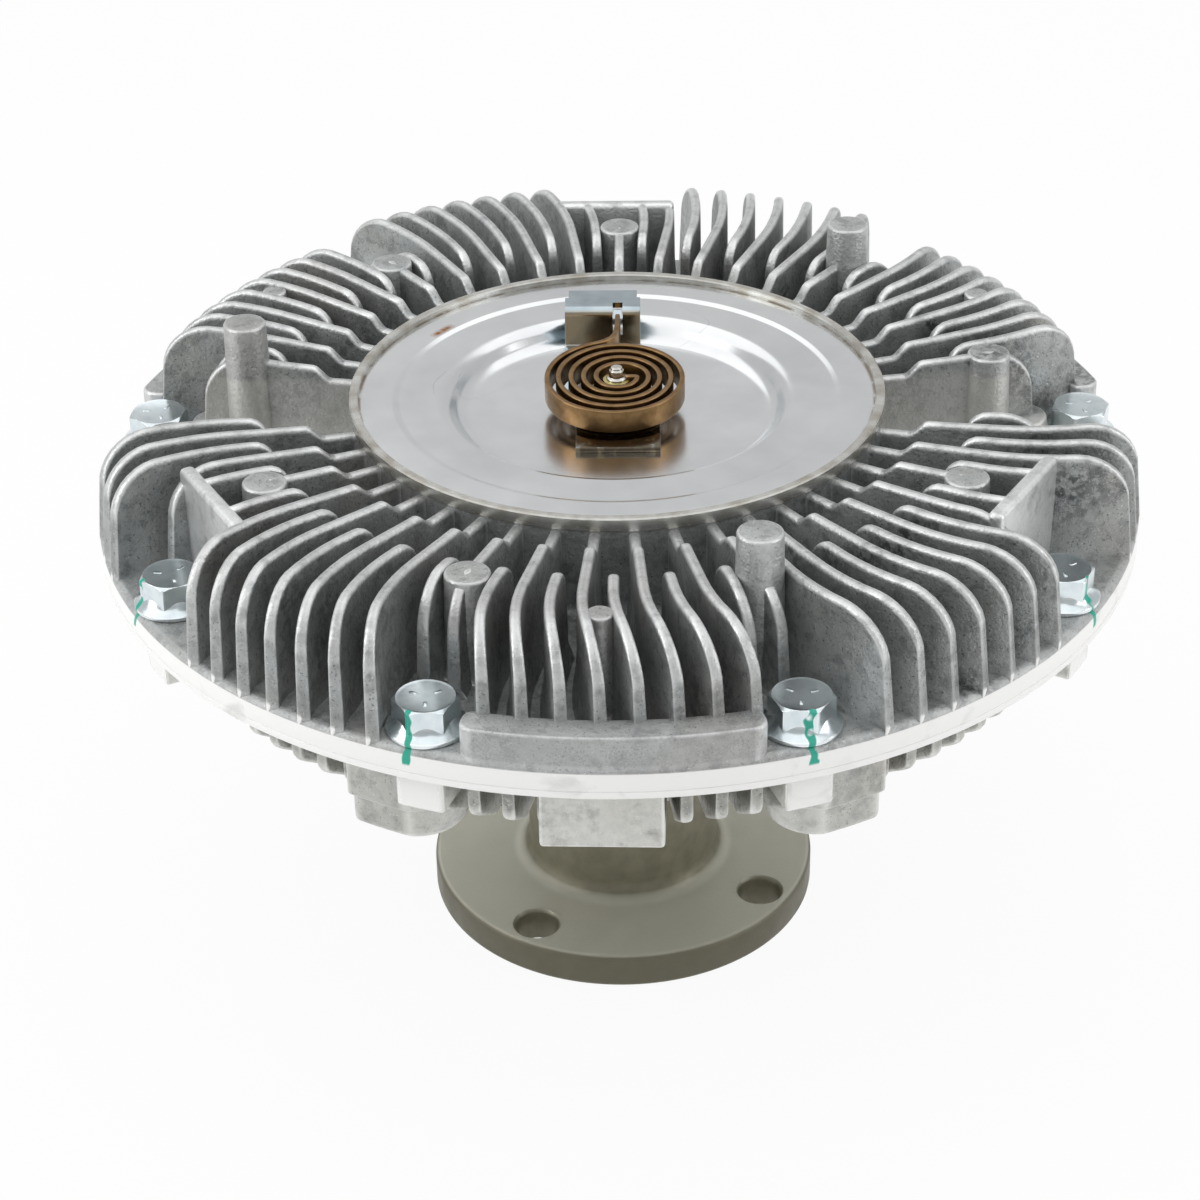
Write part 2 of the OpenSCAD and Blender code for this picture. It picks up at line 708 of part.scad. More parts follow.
// Finned front cover, one casting: floor, flange, reservoir wall with lip, fins, posts, webs, rim segments
module front_cover() {
    color("darkgray")
        difference() {
            union() {
                rotate_extrude()
                    polygon(concat(
                        [[plate_r, part_z], [plate_r, separator_top], [reservoir_r, separator_top],
                            [reservoir_r, plate_seat], [plate_r, plate_seat], [plate_r, lip_top],
                            [lip_r, lip_top], [lip_r, cover_top]],
                        arc([clutch_r - cover_edge, cover_top - cover_edge], cover_edge, 90, 0, edge_steps),
                        [[clutch_r, part_z]],
                        lands_in(land_last - land_pitch / 2, part_z, part_z - land_h)));
                for (reach = [fin_r, web_side_r, rim_fin_r, bolt_fin_r, web_r]) {
                    long_ones = [for (a = long_angles) if (fin_reach(a) == reach) a];
                    short_ones = [for (a = short_angles) if (fin_reach(a) == reach) a];
                    fins(long_ones, long_section(reach), lip_r - 2, reach);
                    fins(short_ones, short_section(reach), short_fin_r - 2, reach);
                }
                for (t = third) {
                    rotate(t + 60)
                        web();
                    rotate(t - rim_span / 2 - 90)
                        rotate_extrude(angle = rim_span)
                            translate([rim_r_in, cover_top - overlap]) square([rim_w, rim_h + overlap]);
                    for (a = [-20, 60])
                        rotate(t + a)
                            post(post_r, post_d, post_top);
                    for (a = [-20, 20])
                        rotate(t + a)
                            post(low_post_r, low_post_d, cover_top + low_post_h);
                    rotate(t + 20)
                        post(post_r, post_d, post_tall_top);
                    rotate(t + small_post_turn)
                        post(small_post_r, small_post_d, post_top);
                }
            }
            for (b = bolt_angles)
                rotate(b)
                    translate([0, -bolt_r, part_z - overlap])
                        cylinder(d = bolt_d + 0.8, h = cover_t + 2 * overlap);
            for (i = [0:rivet_n - 1])
                rotate(i * 360 / rivet_n)
                    translate([0, -rivet_r, part_z])
                        cylinder(d = rivet_d + 2 * fit, h = separator_t + rivet_grip);
        }
}

// Hexagon flange bolts round the cover
module cover_bolts() {
    flange_rim = 1.4;
    cone_h = 1.4;
    hex_r = bolt_af / sqrt(3);
    color("lightsteelblue")
        for (b = bolt_angles)
            rotate(b)
                translate([0, -bolt_r, cover_top]) {
                    rotate_extrude()
                        polygon([[0, -bolt_len], [bolt_d / 2 - 0.8, -bolt_len], [bolt_d / 2, 0.8 - bolt_len],
                            [bolt_d / 2, 0], [bolt_flange_d / 2, 0], [bolt_flange_d / 2, flange_rim],
                            [hex_r, flange_rim + cone_h], [0, flange_rim + cone_h]]);
                    intersection() {
                        cylinder(r = hex_r, h = bolt_head_h, $fn = 6);
                        rotate_extrude()
                            polygon([[0, flange_rim], [hex_r + 0.5, flange_rim],
                                [hex_r + 0.5, bolt_head_h - 1.1], [hex_r - 1.2, bolt_head_h],
                                [0, bolt_head_h]]);
                    }
                }
}

// Separator plate between the reservoir and the working chamber, with its two ports
module separator_plate() {
    color("gainsboro")
        difference() {
            translate([0, 0, part_z]) cylinder(r = plate_r - fit, h = separator_t - fit);
            for (a = [0, 180])
                rotate(a)
                    translate([0, -port_r, part_z - overlap])
                        cylinder(d = port_d, h = separator_t + 2 * overlap);
            for (i = [0:rivet_n - 1])
                rotate(i * 360 / rivet_n)
                    translate([0, -rivet_r, part_z - overlap])
                        cylinder(d = rivet_d + 2 * fit, h = separator_t + 2 * overlap);
        }
}

// Rivets that hold the separator plate to the cover
module separator_rivets() {
    color("silver")
        for (i = [0:rivet_n - 1])
            rotate(i * 360 / rivet_n)
                translate([0, -rivet_r, part_z]) {
                    translate([0, 0, -rivet_head_h]) cylinder(d = rivet_head_d, h = rivet_head_h);
                    translate([0, 0, -overlap / 2])
                        cylinder(d = rivet_d, h = separator_t + rivet_grip + overlap / 2 - fit);
                }
}

// Pressed front plate: flat rim, a shallow step, and the dish under the coil
module front_plate() {
    step_h = 0.5;
    dish_run = 3.5;
    face = [[plate_r - fit, plate_top], [plate_step_r + 1, plate_top], [plate_step_r, plate_top - step_h],
        [dish_r, plate_top - step_h], [dish_r - dish_run, dish_top], [bush_r + fit, dish_top]];
    color("whitesmoke")
        rotate_extrude()
            polygon(concat(face, [for (i = [0:len(face) - 1]) face[len(face) - 1 - i] - [0, plate_t]]));
}

// Bush that carries the spindle through the front plate
module spindle_bush() {
    low = bush_top - bush_h;
    under = dish_top - plate_t;
    color("goldenrod")
        rotate_extrude()
            polygon([[spindle_r + spindle_run, low], [bush_r, low], [bush_r, under - bush_flange_t],
                [bush_flange_r, under - bush_flange_t], [bush_flange_r, under], [bush_r, under],
                [bush_r, dish_top], [bush_collar_r, dish_top], [bush_collar_r, bush_top],
                [spindle_r + spindle_run, bush_top]]);
}

// Valve spindle with its slotted head and collar
module valve_spindle() {
    groove_r = spindle_r - 2 * wire_r - 0.02;
    collar_top = bush_top - bush_h - pass_gap;
    color("palegoldenrod")
        difference() {
            rotate_extrude()
                polygon([[0, arm_bottom], [spindle_r, arm_bottom],
                    [spindle_r, collar_top - spindle_collar_t],
                    [spindle_collar_r, collar_top - spindle_collar_t], [spindle_collar_r, collar_top],
                    [spindle_r, collar_top], [spindle_r, groove_z - groove_h / 2],
                    [groove_r, groove_z - groove_h / 2], [groove_r, groove_z + groove_h / 2],
                    [spindle_r, groove_z + groove_h / 2], [spindle_r, bush_top + pass_gap],
                    [spindle_head_r, bush_top + pass_gap], [spindle_head_r, spindle_head_top],
                    [spindle_tip_r, spindle_head_top], [spindle_tip_r, spindle_head_top + spindle_tip_h],
                    [0, spindle_head_top + spindle_tip_h]]);
            translate([spindle_tip_r, -spindle_slot / 2, coil_bottom - 0.2])
                cube([spindle_head_r + overlap - spindle_tip_r, spindle_slot, coil_h + overlap + 1]);
        }
}

// Sealing ring in the spindle's groove
module spindle_seal() {
    color("black")
        translate([0, 0, groove_z])
            rotate_extrude()
                translate([spindle_r - wire_r, 0]) circle(r = wire_r);
}

// Double-ended valve arm that covers the ports
module valve_arm() {
    reach = port_r + port_d / 2 + 1;
    color("lightsteelblue")
        translate([0, 0, arm_bottom])
            difference() {
                union() {
                    cylinder(r = arm_hub_r, h = arm_t);
                    translate([-arm_w / 2, -reach, 0]) cube([arm_w, 2 * reach, arm_t]);
                }
                translate([0, 0, -overlap]) cylinder(r = spindle_r + fit, h = arm_t + 2 * overlap);
            }
}

// Folded bracket: foot under the coil, wall behind it with a slot, and a top tab bent back
module spring_bracket() {
    wall_out = strap_wall + strap_t;
    tab_end = strap_wall + strap_tab;
    color("lightsteelblue")
        difference() {
            union() {
                translate([-strap_foot_w / 2, -strap_foot, dish_top])
                    cube([strap_foot_w, strap_foot + coil_r, strap_t]);
                translate([-strap_w / 2 - strap_shift, 0, 0])
                    rotate([90, 0, 90])
                        linear_extrude(height = strap_w)
                            polygon(concat(
                                [[0, dish_top]],
                                arc([wall_out - strap_bend, dish_top + strap_bend], strap_bend, 270, 360, 4),
                                [[wall_out, strap_wall_top - strap_t], [tab_end, strap_wall_top - strap_t],
                                    [tab_end, strap_wall_top]],
                                arc([strap_wall + strap_bend, strap_wall_top - strap_bend], strap_bend,
                                    90, 180, 4),
                                [[strap_wall, dish_top + strap_t], [0, dish_top + strap_t]]));
            }
            translate([0, 0, dish_top - overlap]) cylinder(r = strap_hole_r, h = strap_t + 2 * overlap);
            translate([-strap_slot / 2, strap_wall - overlap, coil_bottom - 0.5])
                cube([strap_slot, strap_t + 3 + overlap, strap_wall_top]);
        }
}

// Centre line of the coil, which winds out from the right of the spindle by way of the front
function coil_point(i) = let (turn = i / coil_steps)
    polar(min(coil_in + coil_pitch * turn, coil_out), 90 - 360 * turn)
        + [coil_shift * (1 - turn / coil_turns), 0];

// Bimetal strip wound into a flat coil, with its ends in the spindle's slot and in the bracket's wall
module bimetal_coil() {
    last = (coil_turns - coil_lead) * coil_steps;
    turns = [for (i = [0:last]) coil_point(i)];
    inner_leg = [[spindle_tip_r + 0.3 + coil_t / 2, 0]];
    outer_leg = [[-2.4, coil_r + 2.2], [-0.6, coil_r + 3.4], [0, coil_r + 5.2],
        [0, strap_wall + strap_t + 1]];
    color("saddlebrown")
        translate([0, 0, coil_bottom])
            linear_extrude(height = coil_h)
                strip(concat(inner_leg, turns, outer_leg), coil_t);
}

// Flat strip of even thickness along a line of points
module strip(line, t) {
    last = len(line) - 1;
    side = [for (i = [0:last])
        let (before = line[max(i - 1, 0)], after = line[min(i + 1, last)],
            d = (after - before) / norm(after - before))
            [-d[1], d[0]] * t / 2];
    polygon(concat(
        [for (i = [0:last]) line[i] + side[i]],
        [for (i = [0:last]) line[last - i] - side[last - i]]
    ));
}

drive_shaft();
bearing_inner_ring();
rotor();
rotor_circlip();
rear_housing();
front_cover();
cover_bolts();
housing_seal();
bearing_outer_ring();
bearing_seal_lower();
bearing_seal_upper();
bearing_circlip();
separator_plate();
separator_rivets();
front_plate();
spindle_bush();
spring_bracket();
bimetal_coil();
bearing_cage();
bearing_balls();
valve_spindle();
valve_arm();
spindle_seal();
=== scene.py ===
# %% [markdown]
# # Viscous fan clutch: the looks
# The CAD model gives the size and place of every part of this clutch.
# This lesson builds the visible skins round it: cast fins, machined bands, bolts, the plate and the coil.
# Lengths are written in millimetres and turned into metres when a mesh is made.

# %% Load the frame
import math

import bmesh
import bpy
import numpy as np
from mathutils import Matrix, Vector


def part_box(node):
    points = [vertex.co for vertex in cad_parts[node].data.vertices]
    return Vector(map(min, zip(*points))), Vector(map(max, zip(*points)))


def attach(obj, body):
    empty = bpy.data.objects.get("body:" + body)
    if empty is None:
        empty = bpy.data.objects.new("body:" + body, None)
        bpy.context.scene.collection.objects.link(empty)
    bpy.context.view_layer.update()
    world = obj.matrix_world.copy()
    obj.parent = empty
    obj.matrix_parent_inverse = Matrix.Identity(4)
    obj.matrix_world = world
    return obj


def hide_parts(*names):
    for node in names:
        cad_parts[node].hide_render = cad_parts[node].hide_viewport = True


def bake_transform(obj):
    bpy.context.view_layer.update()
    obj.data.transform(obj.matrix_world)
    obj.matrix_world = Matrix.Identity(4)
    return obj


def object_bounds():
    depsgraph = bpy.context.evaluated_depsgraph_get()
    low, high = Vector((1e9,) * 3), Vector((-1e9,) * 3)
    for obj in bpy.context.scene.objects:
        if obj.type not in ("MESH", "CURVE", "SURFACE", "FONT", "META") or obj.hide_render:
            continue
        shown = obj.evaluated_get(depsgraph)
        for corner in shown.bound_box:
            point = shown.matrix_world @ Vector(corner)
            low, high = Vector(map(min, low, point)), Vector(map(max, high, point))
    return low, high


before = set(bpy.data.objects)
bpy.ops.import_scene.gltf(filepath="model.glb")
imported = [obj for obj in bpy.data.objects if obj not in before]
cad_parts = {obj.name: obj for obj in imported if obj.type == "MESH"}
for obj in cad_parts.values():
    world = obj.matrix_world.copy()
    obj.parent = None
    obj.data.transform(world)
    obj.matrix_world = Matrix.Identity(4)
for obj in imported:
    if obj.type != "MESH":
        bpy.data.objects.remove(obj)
cad_low, cad_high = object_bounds()
print("CAD nodes:", len(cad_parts), "size in mm:", [round(v * 1000, 1) for v in cad_high - cad_low])

# %% [markdown]
# ## Small helpers
# One function turns a colour code into linear light, and one adds a shader or geometry node.
# `add` takes the node's sockets as a dictionary: a value is set, and another socket is linked.

# %% Helpers for nodes
MM = 0.001
# The castings repeat three times round the axis
THIRDS = (0, 120, 240)
# Main sizes in millimetres: the outer radius, just inside the CAD box,
# the floor between the cover's fins, and the joint between the two castings
R_OUT = round(cad_high[0] / MM, 2) - 0.02
FLOOR_Z, JOINT_Z = 127.3, 121.0
MATH, NOISE, RAMP, MIX = "ShaderNodeMath", "ShaderNodeTexNoise", "ShaderNodeMapRange", "ShaderNodeMix"
COORDS, SPLIT = "ShaderNodeTexCoord", "ShaderNodeSeparateXYZ"


def linear(code):
    parts = [int(code[i:i + 2], 16) / 255 for i in (1, 3, 5)]
    return [c / 12.92 if c <= 0.04045 else ((c + 0.055) / 1.055) ** 2.4 for c in parts] + [1.0]


def add(tree, kind, inputs=None, out=0, **settings):
    node = tree.nodes.new(kind)
    for key, value in settings.items():
        setattr(node, key, value)
    for key, value in (inputs or {}).items():
        if isinstance(value, bpy.types.NodeSocket):
            tree.links.new(value, node.inputs[key])
        else:
            node.inputs[key].default_value = value
    return node.outputs[out] if len(node.outputs) else node


print("linear grey of #808080:", round(linear("#808080")[0], 3))

# %% [markdown]
# ## Mesh helpers
# `piece` makes an object from points and faces.
# `lathe` turns a closed section about the axis, `prism` gives a plan some height with soft edges.
# A wear helper stores how sharp or hollow the surface is at each point, so that a material can brighten worn
# edges and darken hollows with painted shade.

# %% Helpers for meshes


def polar(r, angle, z=0.0):
    a = math.radians(angle)
    return (r * math.sin(a), -r * math.cos(a), z)


def shade(obj, sharp=35):
    """Smooth shading, with edges kept sharp above an angle in degrees."""
    obj.data.shade_smooth()
    obj.data.set_sharp_from_angle(angle=math.radians(sharp))


def piece(name, points, faces, sharp=35):
    mesh = bpy.data.meshes.new(name)
    mesh.from_pydata((np.asarray(points, float) * MM).tolist(), [], [list(map(int, f)) for f in faces])
    bm = bmesh.new()
    bm.from_mesh(mesh)
    bmesh.ops.remove_doubles(bm, verts=bm.verts, dist=1e-7)
    bmesh.ops.dissolve_degenerate(bm, edges=bm.edges, dist=1e-8)
    bmesh.ops.recalc_face_normals(bm, faces=bm.faces)
    bm.to_mesh(mesh)
    bm.free()
    obj = bpy.data.objects.new(name, mesh)
    shade(obj, sharp)
    bpy.context.scene.collection.objects.link(obj)
    return obj


def baked(obj):
    evaluated = obj.evaluated_get(bpy.context.evaluated_depsgraph_get())
    mesh = bpy.data.meshes.new_from_object(evaluated)
    mesh.name = obj.name
    obj.modifiers.clear()
    obj.data = mesh
    return obj


def rounded(corners, steps=4):
    """Corners are (x, y, radius); each becomes an arc that meets both sides."""
    line = []
    for i, (x, y, radius) in enumerate(corners):
        p = Vector((x, y))
        a = (Vector(corners[i - 1][:2]) - p)
        b = (Vector(corners[(i + 1) % len(corners)][:2]) - p)
        if radius <= 0:
            line.append(p)
            continue
        half = a.angle(b) / 2
        ends = (corners[i - 1], corners[(i + 1) % len(corners)])
        room = [side.length * (0.6 if end[2] else 0.95) for side, end in zip((a, b), ends)]
        cut = min(radius / math.tan(half), *room)
        radius = cut * math.tan(half)
        centre = p + (a.normalized() + b.normalized()).normalized() * radius / math.sin(half)
        start = p + a.normalized() * cut - centre
        turn = start.angle_signed(p + b.normalized() * cut - centre)
        for k in range(steps + 1):
            s, c = math.sin(-turn * k / steps), math.cos(turn * k / steps)
            line.append(centre + Vector((start.x * c - start.y * s, start.x * s + start.y * c)))
    return [tuple(p) for p in line]


def lathe(name, section, steps):
    section = np.asarray(section, float)
    angles = np.arange(steps) * 2 * math.pi / steps
    rings = [[(r * math.sin(a), -r * math.cos(a), z) for r, z in section] for a in angles]
    n = len(section)
    faces = [(i * n + j, ((i + 1) % steps) * n + j, ((i + 1) % steps) * n + (j + 1) % n, i * n + (j + 1) % n)
             for i in range(steps) for j in range(n)]
    return piece(name, np.concatenate(rings), faces)


def prism(name, plan, low, high, bevel=0.0, segments=3):
    n = len(plan)
    points = [(x, y, low) for x, y in plan] + [(x, y, high) for x, y in plan]
    faces = [tuple(range(n))[::-1], tuple(range(n, 2 * n))]
    faces += [(i, (i + 1) % n, n + (i + 1) % n, n + i) for i in range(n)]
    obj = piece(name, points, faces)
    if bevel:
        mod = obj.modifiers.new("edges", "BEVEL")
        mod.width, mod.segments, mod.limit_method, mod.angle_limit = bevel * MM, segments, "ANGLE", 0.7
        baked(obj)
        shade(obj)
    return obj


def cut(obj, *tools):
    for tool in tools:
        mod = obj.modifiers.new("cut", "BOOLEAN")
        mod.operation, mod.object, mod.solver = "DIFFERENCE", tool, "EXACT"
        baked(obj)
        bpy.data.objects.remove(tool)
    shade(obj)
    return obj


def wear_and_hollow_shade(obj, gain=3.0):
    mesh = obj.data
    n = len(mesh.vertices)
    co, no = np.zeros(n * 3), np.zeros(n * 3)
    mesh.vertices.foreach_get("co", co)
    mesh.vertex_normals.foreach_get("vector", no)
    co, no = co.reshape(-1, 3), no.reshape(-1, 3)
    ends = np.zeros(len(mesh.edges) * 2, int)
    mesh.edges.foreach_get("vertices", ends)
    ends = ends.reshape(-1, 2)
    total, count = np.zeros(n), np.zeros(n)
    for a, b in (ends.T, ends.T[::-1]):
        d = co[b] - co[a]
        slope = -(no[a] * d).sum(1) / np.maximum(np.linalg.norm(d, axis=1), 1e-9)
        np.add.at(total, a, slope)
        np.add.at(count, a, 1)
    value = np.clip(gain * total / np.maximum(count, 1), -1, 1).astype(np.float32)
    attribute = mesh.attributes.get("edge") or mesh.attributes.new("edge", "FLOAT", "POINT")
    attribute.data.foreach_set("value", value)
    return obj


def join(name, parts):
    with bpy.context.temp_override(active_object=parts[0], object=parts[0], selected_objects=parts,
                                   selected_editable_objects=parts):
        bpy.ops.object.join()
    parts[0].name = parts[0].data.name = name
    return parts[0]


def wear_material(obj, material):
    wear_and_hollow_shade(obj)
    obj.data.materials.clear()
    obj.data.materials.append(material)
    return obj


print("helpers are ready")

# %% [markdown]
# ## Finishes
# Each finish starts from a base colour and adds blotches, stains, worn edges and a fine grain, and in some
# places painted shade, painted light and painted reflection.
# The places come from the object's own coordinates, so every part shares one pattern.

# %% Shared parts of the finishes


def new_material(name):
    material = bpy.data.materials.new(name)
    material.use_nodes = True
    material.node_tree.nodes.clear()
    return material, material.node_tree


def blotch(tree, scale, low, high, detail=4.0, distortion=0.0):
    """Noise between two thresholds, as a mask from 0 to 1."""
    where = add(tree, COORDS, out="Object")
    noise = add(tree, NOISE, {"Vector": where, "Scale": scale, "Detail": detail, "Distortion": distortion})
    return add(tree, RAMP, {"Value": noise, "From Min": low, "From Max": high})


def layer(tree, mask, below, top):
    """The top colour, laid over the one below where the mask is 1; a colour is a code or a socket."""
    below, top = (linear(c) if isinstance(c, str) else c for c in (below, top))
    return add(tree, MIX, {0: mask, 6: below, 7: top}, out=2, data_type="RGBA")


def fade(tree, value, low, high):
    """A mask that goes from 0 at low to 1 at high."""
    return add(tree, RAMP, {"Value": value, "From Min": low, "From Max": high})


def masked(tree, *values):
    """Masks and strengths multiplied together."""
    product = values[0]
    for value in values[1:]:
        product = add(tree, MATH, {0: product, 1: value}, operation="MULTIPLY")
    return product


def off_from(tree, value, middle):
    """How far a value lies from the middle, on either side."""
    off = add(tree, MATH, {0: value, 1: middle}, operation="SUBTRACT")
    return add(tree, MATH, {0: off}, operation="ABSOLUTE")


def axes_of(tree, vector):
    """The three sockets of a vector, by name or number."""
    split = tree.nodes.new(SPLIT)
    tree.links.new(vector, split.inputs[0])
    return split.outputs


def close_material(tree, colour, rough, metallic, grain, grain_depth):
    bump = add(tree, "ShaderNodeBump", {"Height": grain, "Strength": 1.0, "Distance": grain_depth * MM})
    inputs = {"Base Color": colour, "Roughness": rough, "Metallic": metallic, "Normal": bump}
    shader = add(tree, "ShaderNodeBsdfPrincipled", inputs)
    add(tree, "ShaderNodeOutputMaterial", {"Surface": shader})


def ring_places(tree):
    """Radius, angle from the front and height of a point, in millimetres and degrees."""
    x, y, z = axes_of(tree, add(tree, COORDS, out="Object"))
    flat = add(tree, "ShaderNodeCombineXYZ", {"X": x, "Y": y})
    radius = add(tree, "ShaderNodeVectorMath", {0: flat}, out="Value", operation="LENGTH")
    radius = add(tree, MATH, {0: radius, 1: 1 / MM}, operation="MULTIPLY")
    front = add(tree, MATH, {0: y, 1: -1.0}, operation="MULTIPLY")
    angle = add(tree, MATH, {0: x, 1: front}, operation="ARCTAN2")
    angle = add(tree, MATH, {0: angle, 1: math.degrees(1)}, operation="MULTIPLY")
    height = add(tree, MATH, {0: z, 1: 1 / MM}, operation="MULTIPLY")
    return radius, angle, height


print("helpers for finishes are ready")

# %% [markdown]
# ## Paint marks
# After tightening, four bolts were marked with a stripe of teal paint that runs on over the casting's edge.
# The stripe is one mask, shared by the bolts' finish and the casting's, so that both halves meet.

# %% Paint marks
# Angle and half width of each mark in degrees, how far its edges waver, and the height at which it ends
PAINT_MARKS = ((-20.4, 0.36), (19.6, 0.36), (-60.4, 0.32), (59.3, 0.32))
PAINT_WAVER, PAINT_LOW = 0.3, 122.8
TEAL = "#27AB93"


def paint_mask(tree, inner):
    """Stripes of paint outside radius inner, with uneven edges and gaps."""
    radius, angle, height = ring_places(tree)
    wobble = add(tree, NOISE, {"Vector": add(tree, COORDS, out="Object"), "Scale": 190.0, "Detail": 1.0})
    wobble = add(tree, RAMP, {"Value": wobble, "From Min": 0.3, "From Max": 0.7,
                              "To Min": -PAINT_WAVER, "To Max": PAINT_WAVER})
    angle = add(tree, MATH, {0: angle, 1: wobble}, operation="ADD")
    nearest = None
    for middle, half in PAINT_MARKS:
        share = masked(tree, off_from(tree, angle, middle), 1 / half)
        nearest = share if nearest is None else add(tree, MATH, {0: nearest, 1: share}, operation="MINIMUM")
    return masked(tree, fade(tree, nearest, 1.1, 0.85), fade(tree, radius, inner, inner + 0.3),
                  fade(tree, height, PAINT_LOW, PAINT_LOW + 0.6), blotch(tree, 200.0, 0.38, 0.42, 1.0))


print("paint marks:", len(PAINT_MARKS))

# %% [markdown]
# ## Cast aluminium
# Both housings are die castings: grey skin with darker blotches, pits and bright rubbed edges.
# The outer band and the lip were turned on a lathe, so they are nearly white and smooth.
# One material holds it all, because the turned places can be told by radius and height.

# %% Cast and machined aluminium
# Metallic share of the casting and of the turned band, and the heights between which the skin turns rough
CAST_METAL, BAND_METAL = 0.72, 0.15
CREST_Z, SKIN_Z = 151.0, 133.0
# The two open pockets at the sides: middle and half angle in degrees, top and outer radius
POCKET_MID, POCKET_HALF, POCKET_TOP, POCKET_R = 90.0, 8.5, 148.0, 126.0
# Turned places: inner edge and top of the band, outside and foot of the lip, face and top of the bolt tabs
BAND_R, BAND_TOP = R_OUT - 0.15, 127.6
LIP_OUT, LIP_LOW = 68.4, 149.9
TAB_R, TAB_TOP = 130.2, 119.0
# Radius inside which the casting keeps clear of paint
PAINT_INNER = 132.4


def skin_colour(tree, dark, light, worn, soil, places):
    """Blotches, stains, pits and rubbed edges of the cast skin, with painted shade in the hollows and
    painted light in the side pockets, and the mask of the rubbed edges.
    """
    radius, angle, height = places
    edge = add(tree, "ShaderNodeAttribute", out="Fac", attribute_name="edge")
    colour = layer(tree, blotch(tree, 110.0, 0.35, 0.7, 6.0), dark, light)
    # brown soil and darker mottling
    for noise, strength, tone in (((26.0, 0.5, 0.68, 4.0, 0.8), soil, "#8B8477"),
                                  ((300.0, 0.5, 0.64, 8.0, 0.4), 0.45, "#6E7171")):
        colour = layer(tree, masked(tree, blotch(tree, *noise), strength), colour, tone)
    # dark stains gather on the right-hand side
    side = add(tree, RAMP, {"Value": angle, "From Min": 10.0, "From Max": 45.0, "To Min": 0.45,
                            "To Max": 0.8})
    stain_and_painted_reflection = masked(tree, blotch(tree, 34.0, 0.53, 0.66, 5.0, distortion=0.6),
                   blotch(tree, 520.0, 0.42, 0.56, 6.0), side)
    colour = layer(tree, stain_and_painted_reflection, colour, "#4A4D4E")
    # dark pits and bright specks
    for noise, strength, tone in (((1500.0, 0.62, 0.68, 2.0), 0.6, "#4E5050"),
                                  ((2100.0, 0.64, 0.72, 2.0), 0.45, "#EEF0F0")):
        colour = layer(tree, masked(tree, blotch(tree, *noise), strength), colour, tone)
    rubbed = masked(tree, fade(tree, edge, 0.1, 0.6), blotch(tree, 240.0, 0.15, 0.5))
    colour = layer(tree, rubbed, colour, worn)
    # painted shade: the colour darkens where the surface is hollow, at the roots of fins and in creases
    painted_hollow_shade = masked(tree, fade(tree, edge, -0.1, -0.9), 0.25)
    colour = layer(tree, painted_hollow_shade, colour, "#6A6863")
    # painted light: the open side pockets are made paler, to stand in for light on their floors and walls
    aside = off_from(tree, add(tree, MATH, {0: angle}, operation="ABSOLUTE"), POCKET_MID)
    pocket_painted_light = masked(tree, fade(tree, aside, POCKET_HALF + 1.5, POCKET_HALF),
                    fade(tree, height, POCKET_TOP + 2.5, POCKET_TOP), fade(tree, height, 126.0, 126.5),
                    fade(tree, radius, POCKET_R + 3, POCKET_R))
    colour = layer(tree, masked(tree, pocket_painted_light, 0.5), colour, "#DAD8D2")
    # grey outer faces with a fine crackle, drawn where a noise is close to its middle value
    outer = masked(tree, fade(tree, radius, 132.2, 133.0), fade(tree, height, 127.4, 128.0),
                   fade(tree, height, 137.0, 134.6))
    colour = layer(tree, masked(tree, outer, 0.25), colour, "#8A8B88")
    crack = masked(tree, blotch(tree, 520.0, 0.47, 0.5, 3.0, distortion=3.0),
                   blotch(tree, 520.0, 0.53, 0.5, 3.0, distortion=3.0),
                   blotch(tree, 90.0, 0.4, 0.58), outer, 0.6)
    return layer(tree, crack, colour, "#61625F"), rubbed


def cast_aluminium(name, dark, light, worn, soil, deep, painted=False):
    """Soil is the strength of the brown stains, deep the metallic share low between the fins."""
    material, tree = new_material(name)
    places = ring_places(tree)
    radius, _, height = places
    colour, rubbed = skin_colour(tree, dark, light, worn, soil, places)
    band = masked(tree, fade(tree, radius, BAND_R - 0.09, BAND_R),
                  fade(tree, height, BAND_TOP + 1, BAND_TOP))
    tab = masked(tree, fade(tree, radius, TAB_R - 0.3, TAB_R - 0.2),
                 fade(tree, radius, TAB_R + 0.6, TAB_R + 0.4), fade(tree, height, TAB_TOP + 0.4, TAB_TOP))
    band = add(tree, MATH, {0: band, 1: tab}, operation="MAXIMUM")
    lip = masked(tree, fade(tree, radius, LIP_OUT + 0.4, LIP_OUT + 0.1),
                 fade(tree, height, LIP_LOW - 0.3, LIP_LOW))
    turned = add(tree, MATH, {0: band, 1: lip}, operation="MAXIMUM")
    smudge = masked(tree, blotch(tree, 60.0, 0.6, 0.74, 5.0, distortion=1.0), 0.4)
    colour = layer(tree, band, colour, layer(tree, smudge, "#FAFAF8", "#B5B4B0"))
    cloudy = layer(tree, blotch(tree, 150.0, 0.4, 0.65, 5.0), "#CCCCC8", "#ABA79D")
    colour = layer(tree, lip, colour, cloudy)
    rough = add(tree, RAMP, {"Value": rubbed, "To Min": 0.46, "To Max": 0.3})
    rough = add(tree, MATH, {0: rough, 1: masked(tree, turned, 0.12)}, operation="SUBTRACT")
    depth = fade(tree, height, CREST_Z, SKIN_Z)
    metallic = add(tree, RAMP, {"Value": depth, "To Min": CAST_METAL, "To Max": deep})
    dull = add(tree, RAMP, {"Value": band, "To Min": 1.0, "To Max": BAND_METAL / deep})
    metallic = masked(tree, metallic, dull)
    if painted:
        mask = paint_mask(tree, PAINT_INNER)
        colour = layer(tree, mask, colour, TEAL)
        metallic = masked(tree, metallic, fade(tree, mask, 1.0, 0.0))
    grain = add(tree, NOISE, {"Vector": add(tree, COORDS, out="Object"), "Scale": 1100.0, "Detail": 4.0})
    grain = masked(tree, grain, add(tree, RAMP, {"Value": turned, "To Min": 1.0, "To Max": 0.12}))
    close_material(tree, colour, rough, metallic, grain, 0.22)
    return material


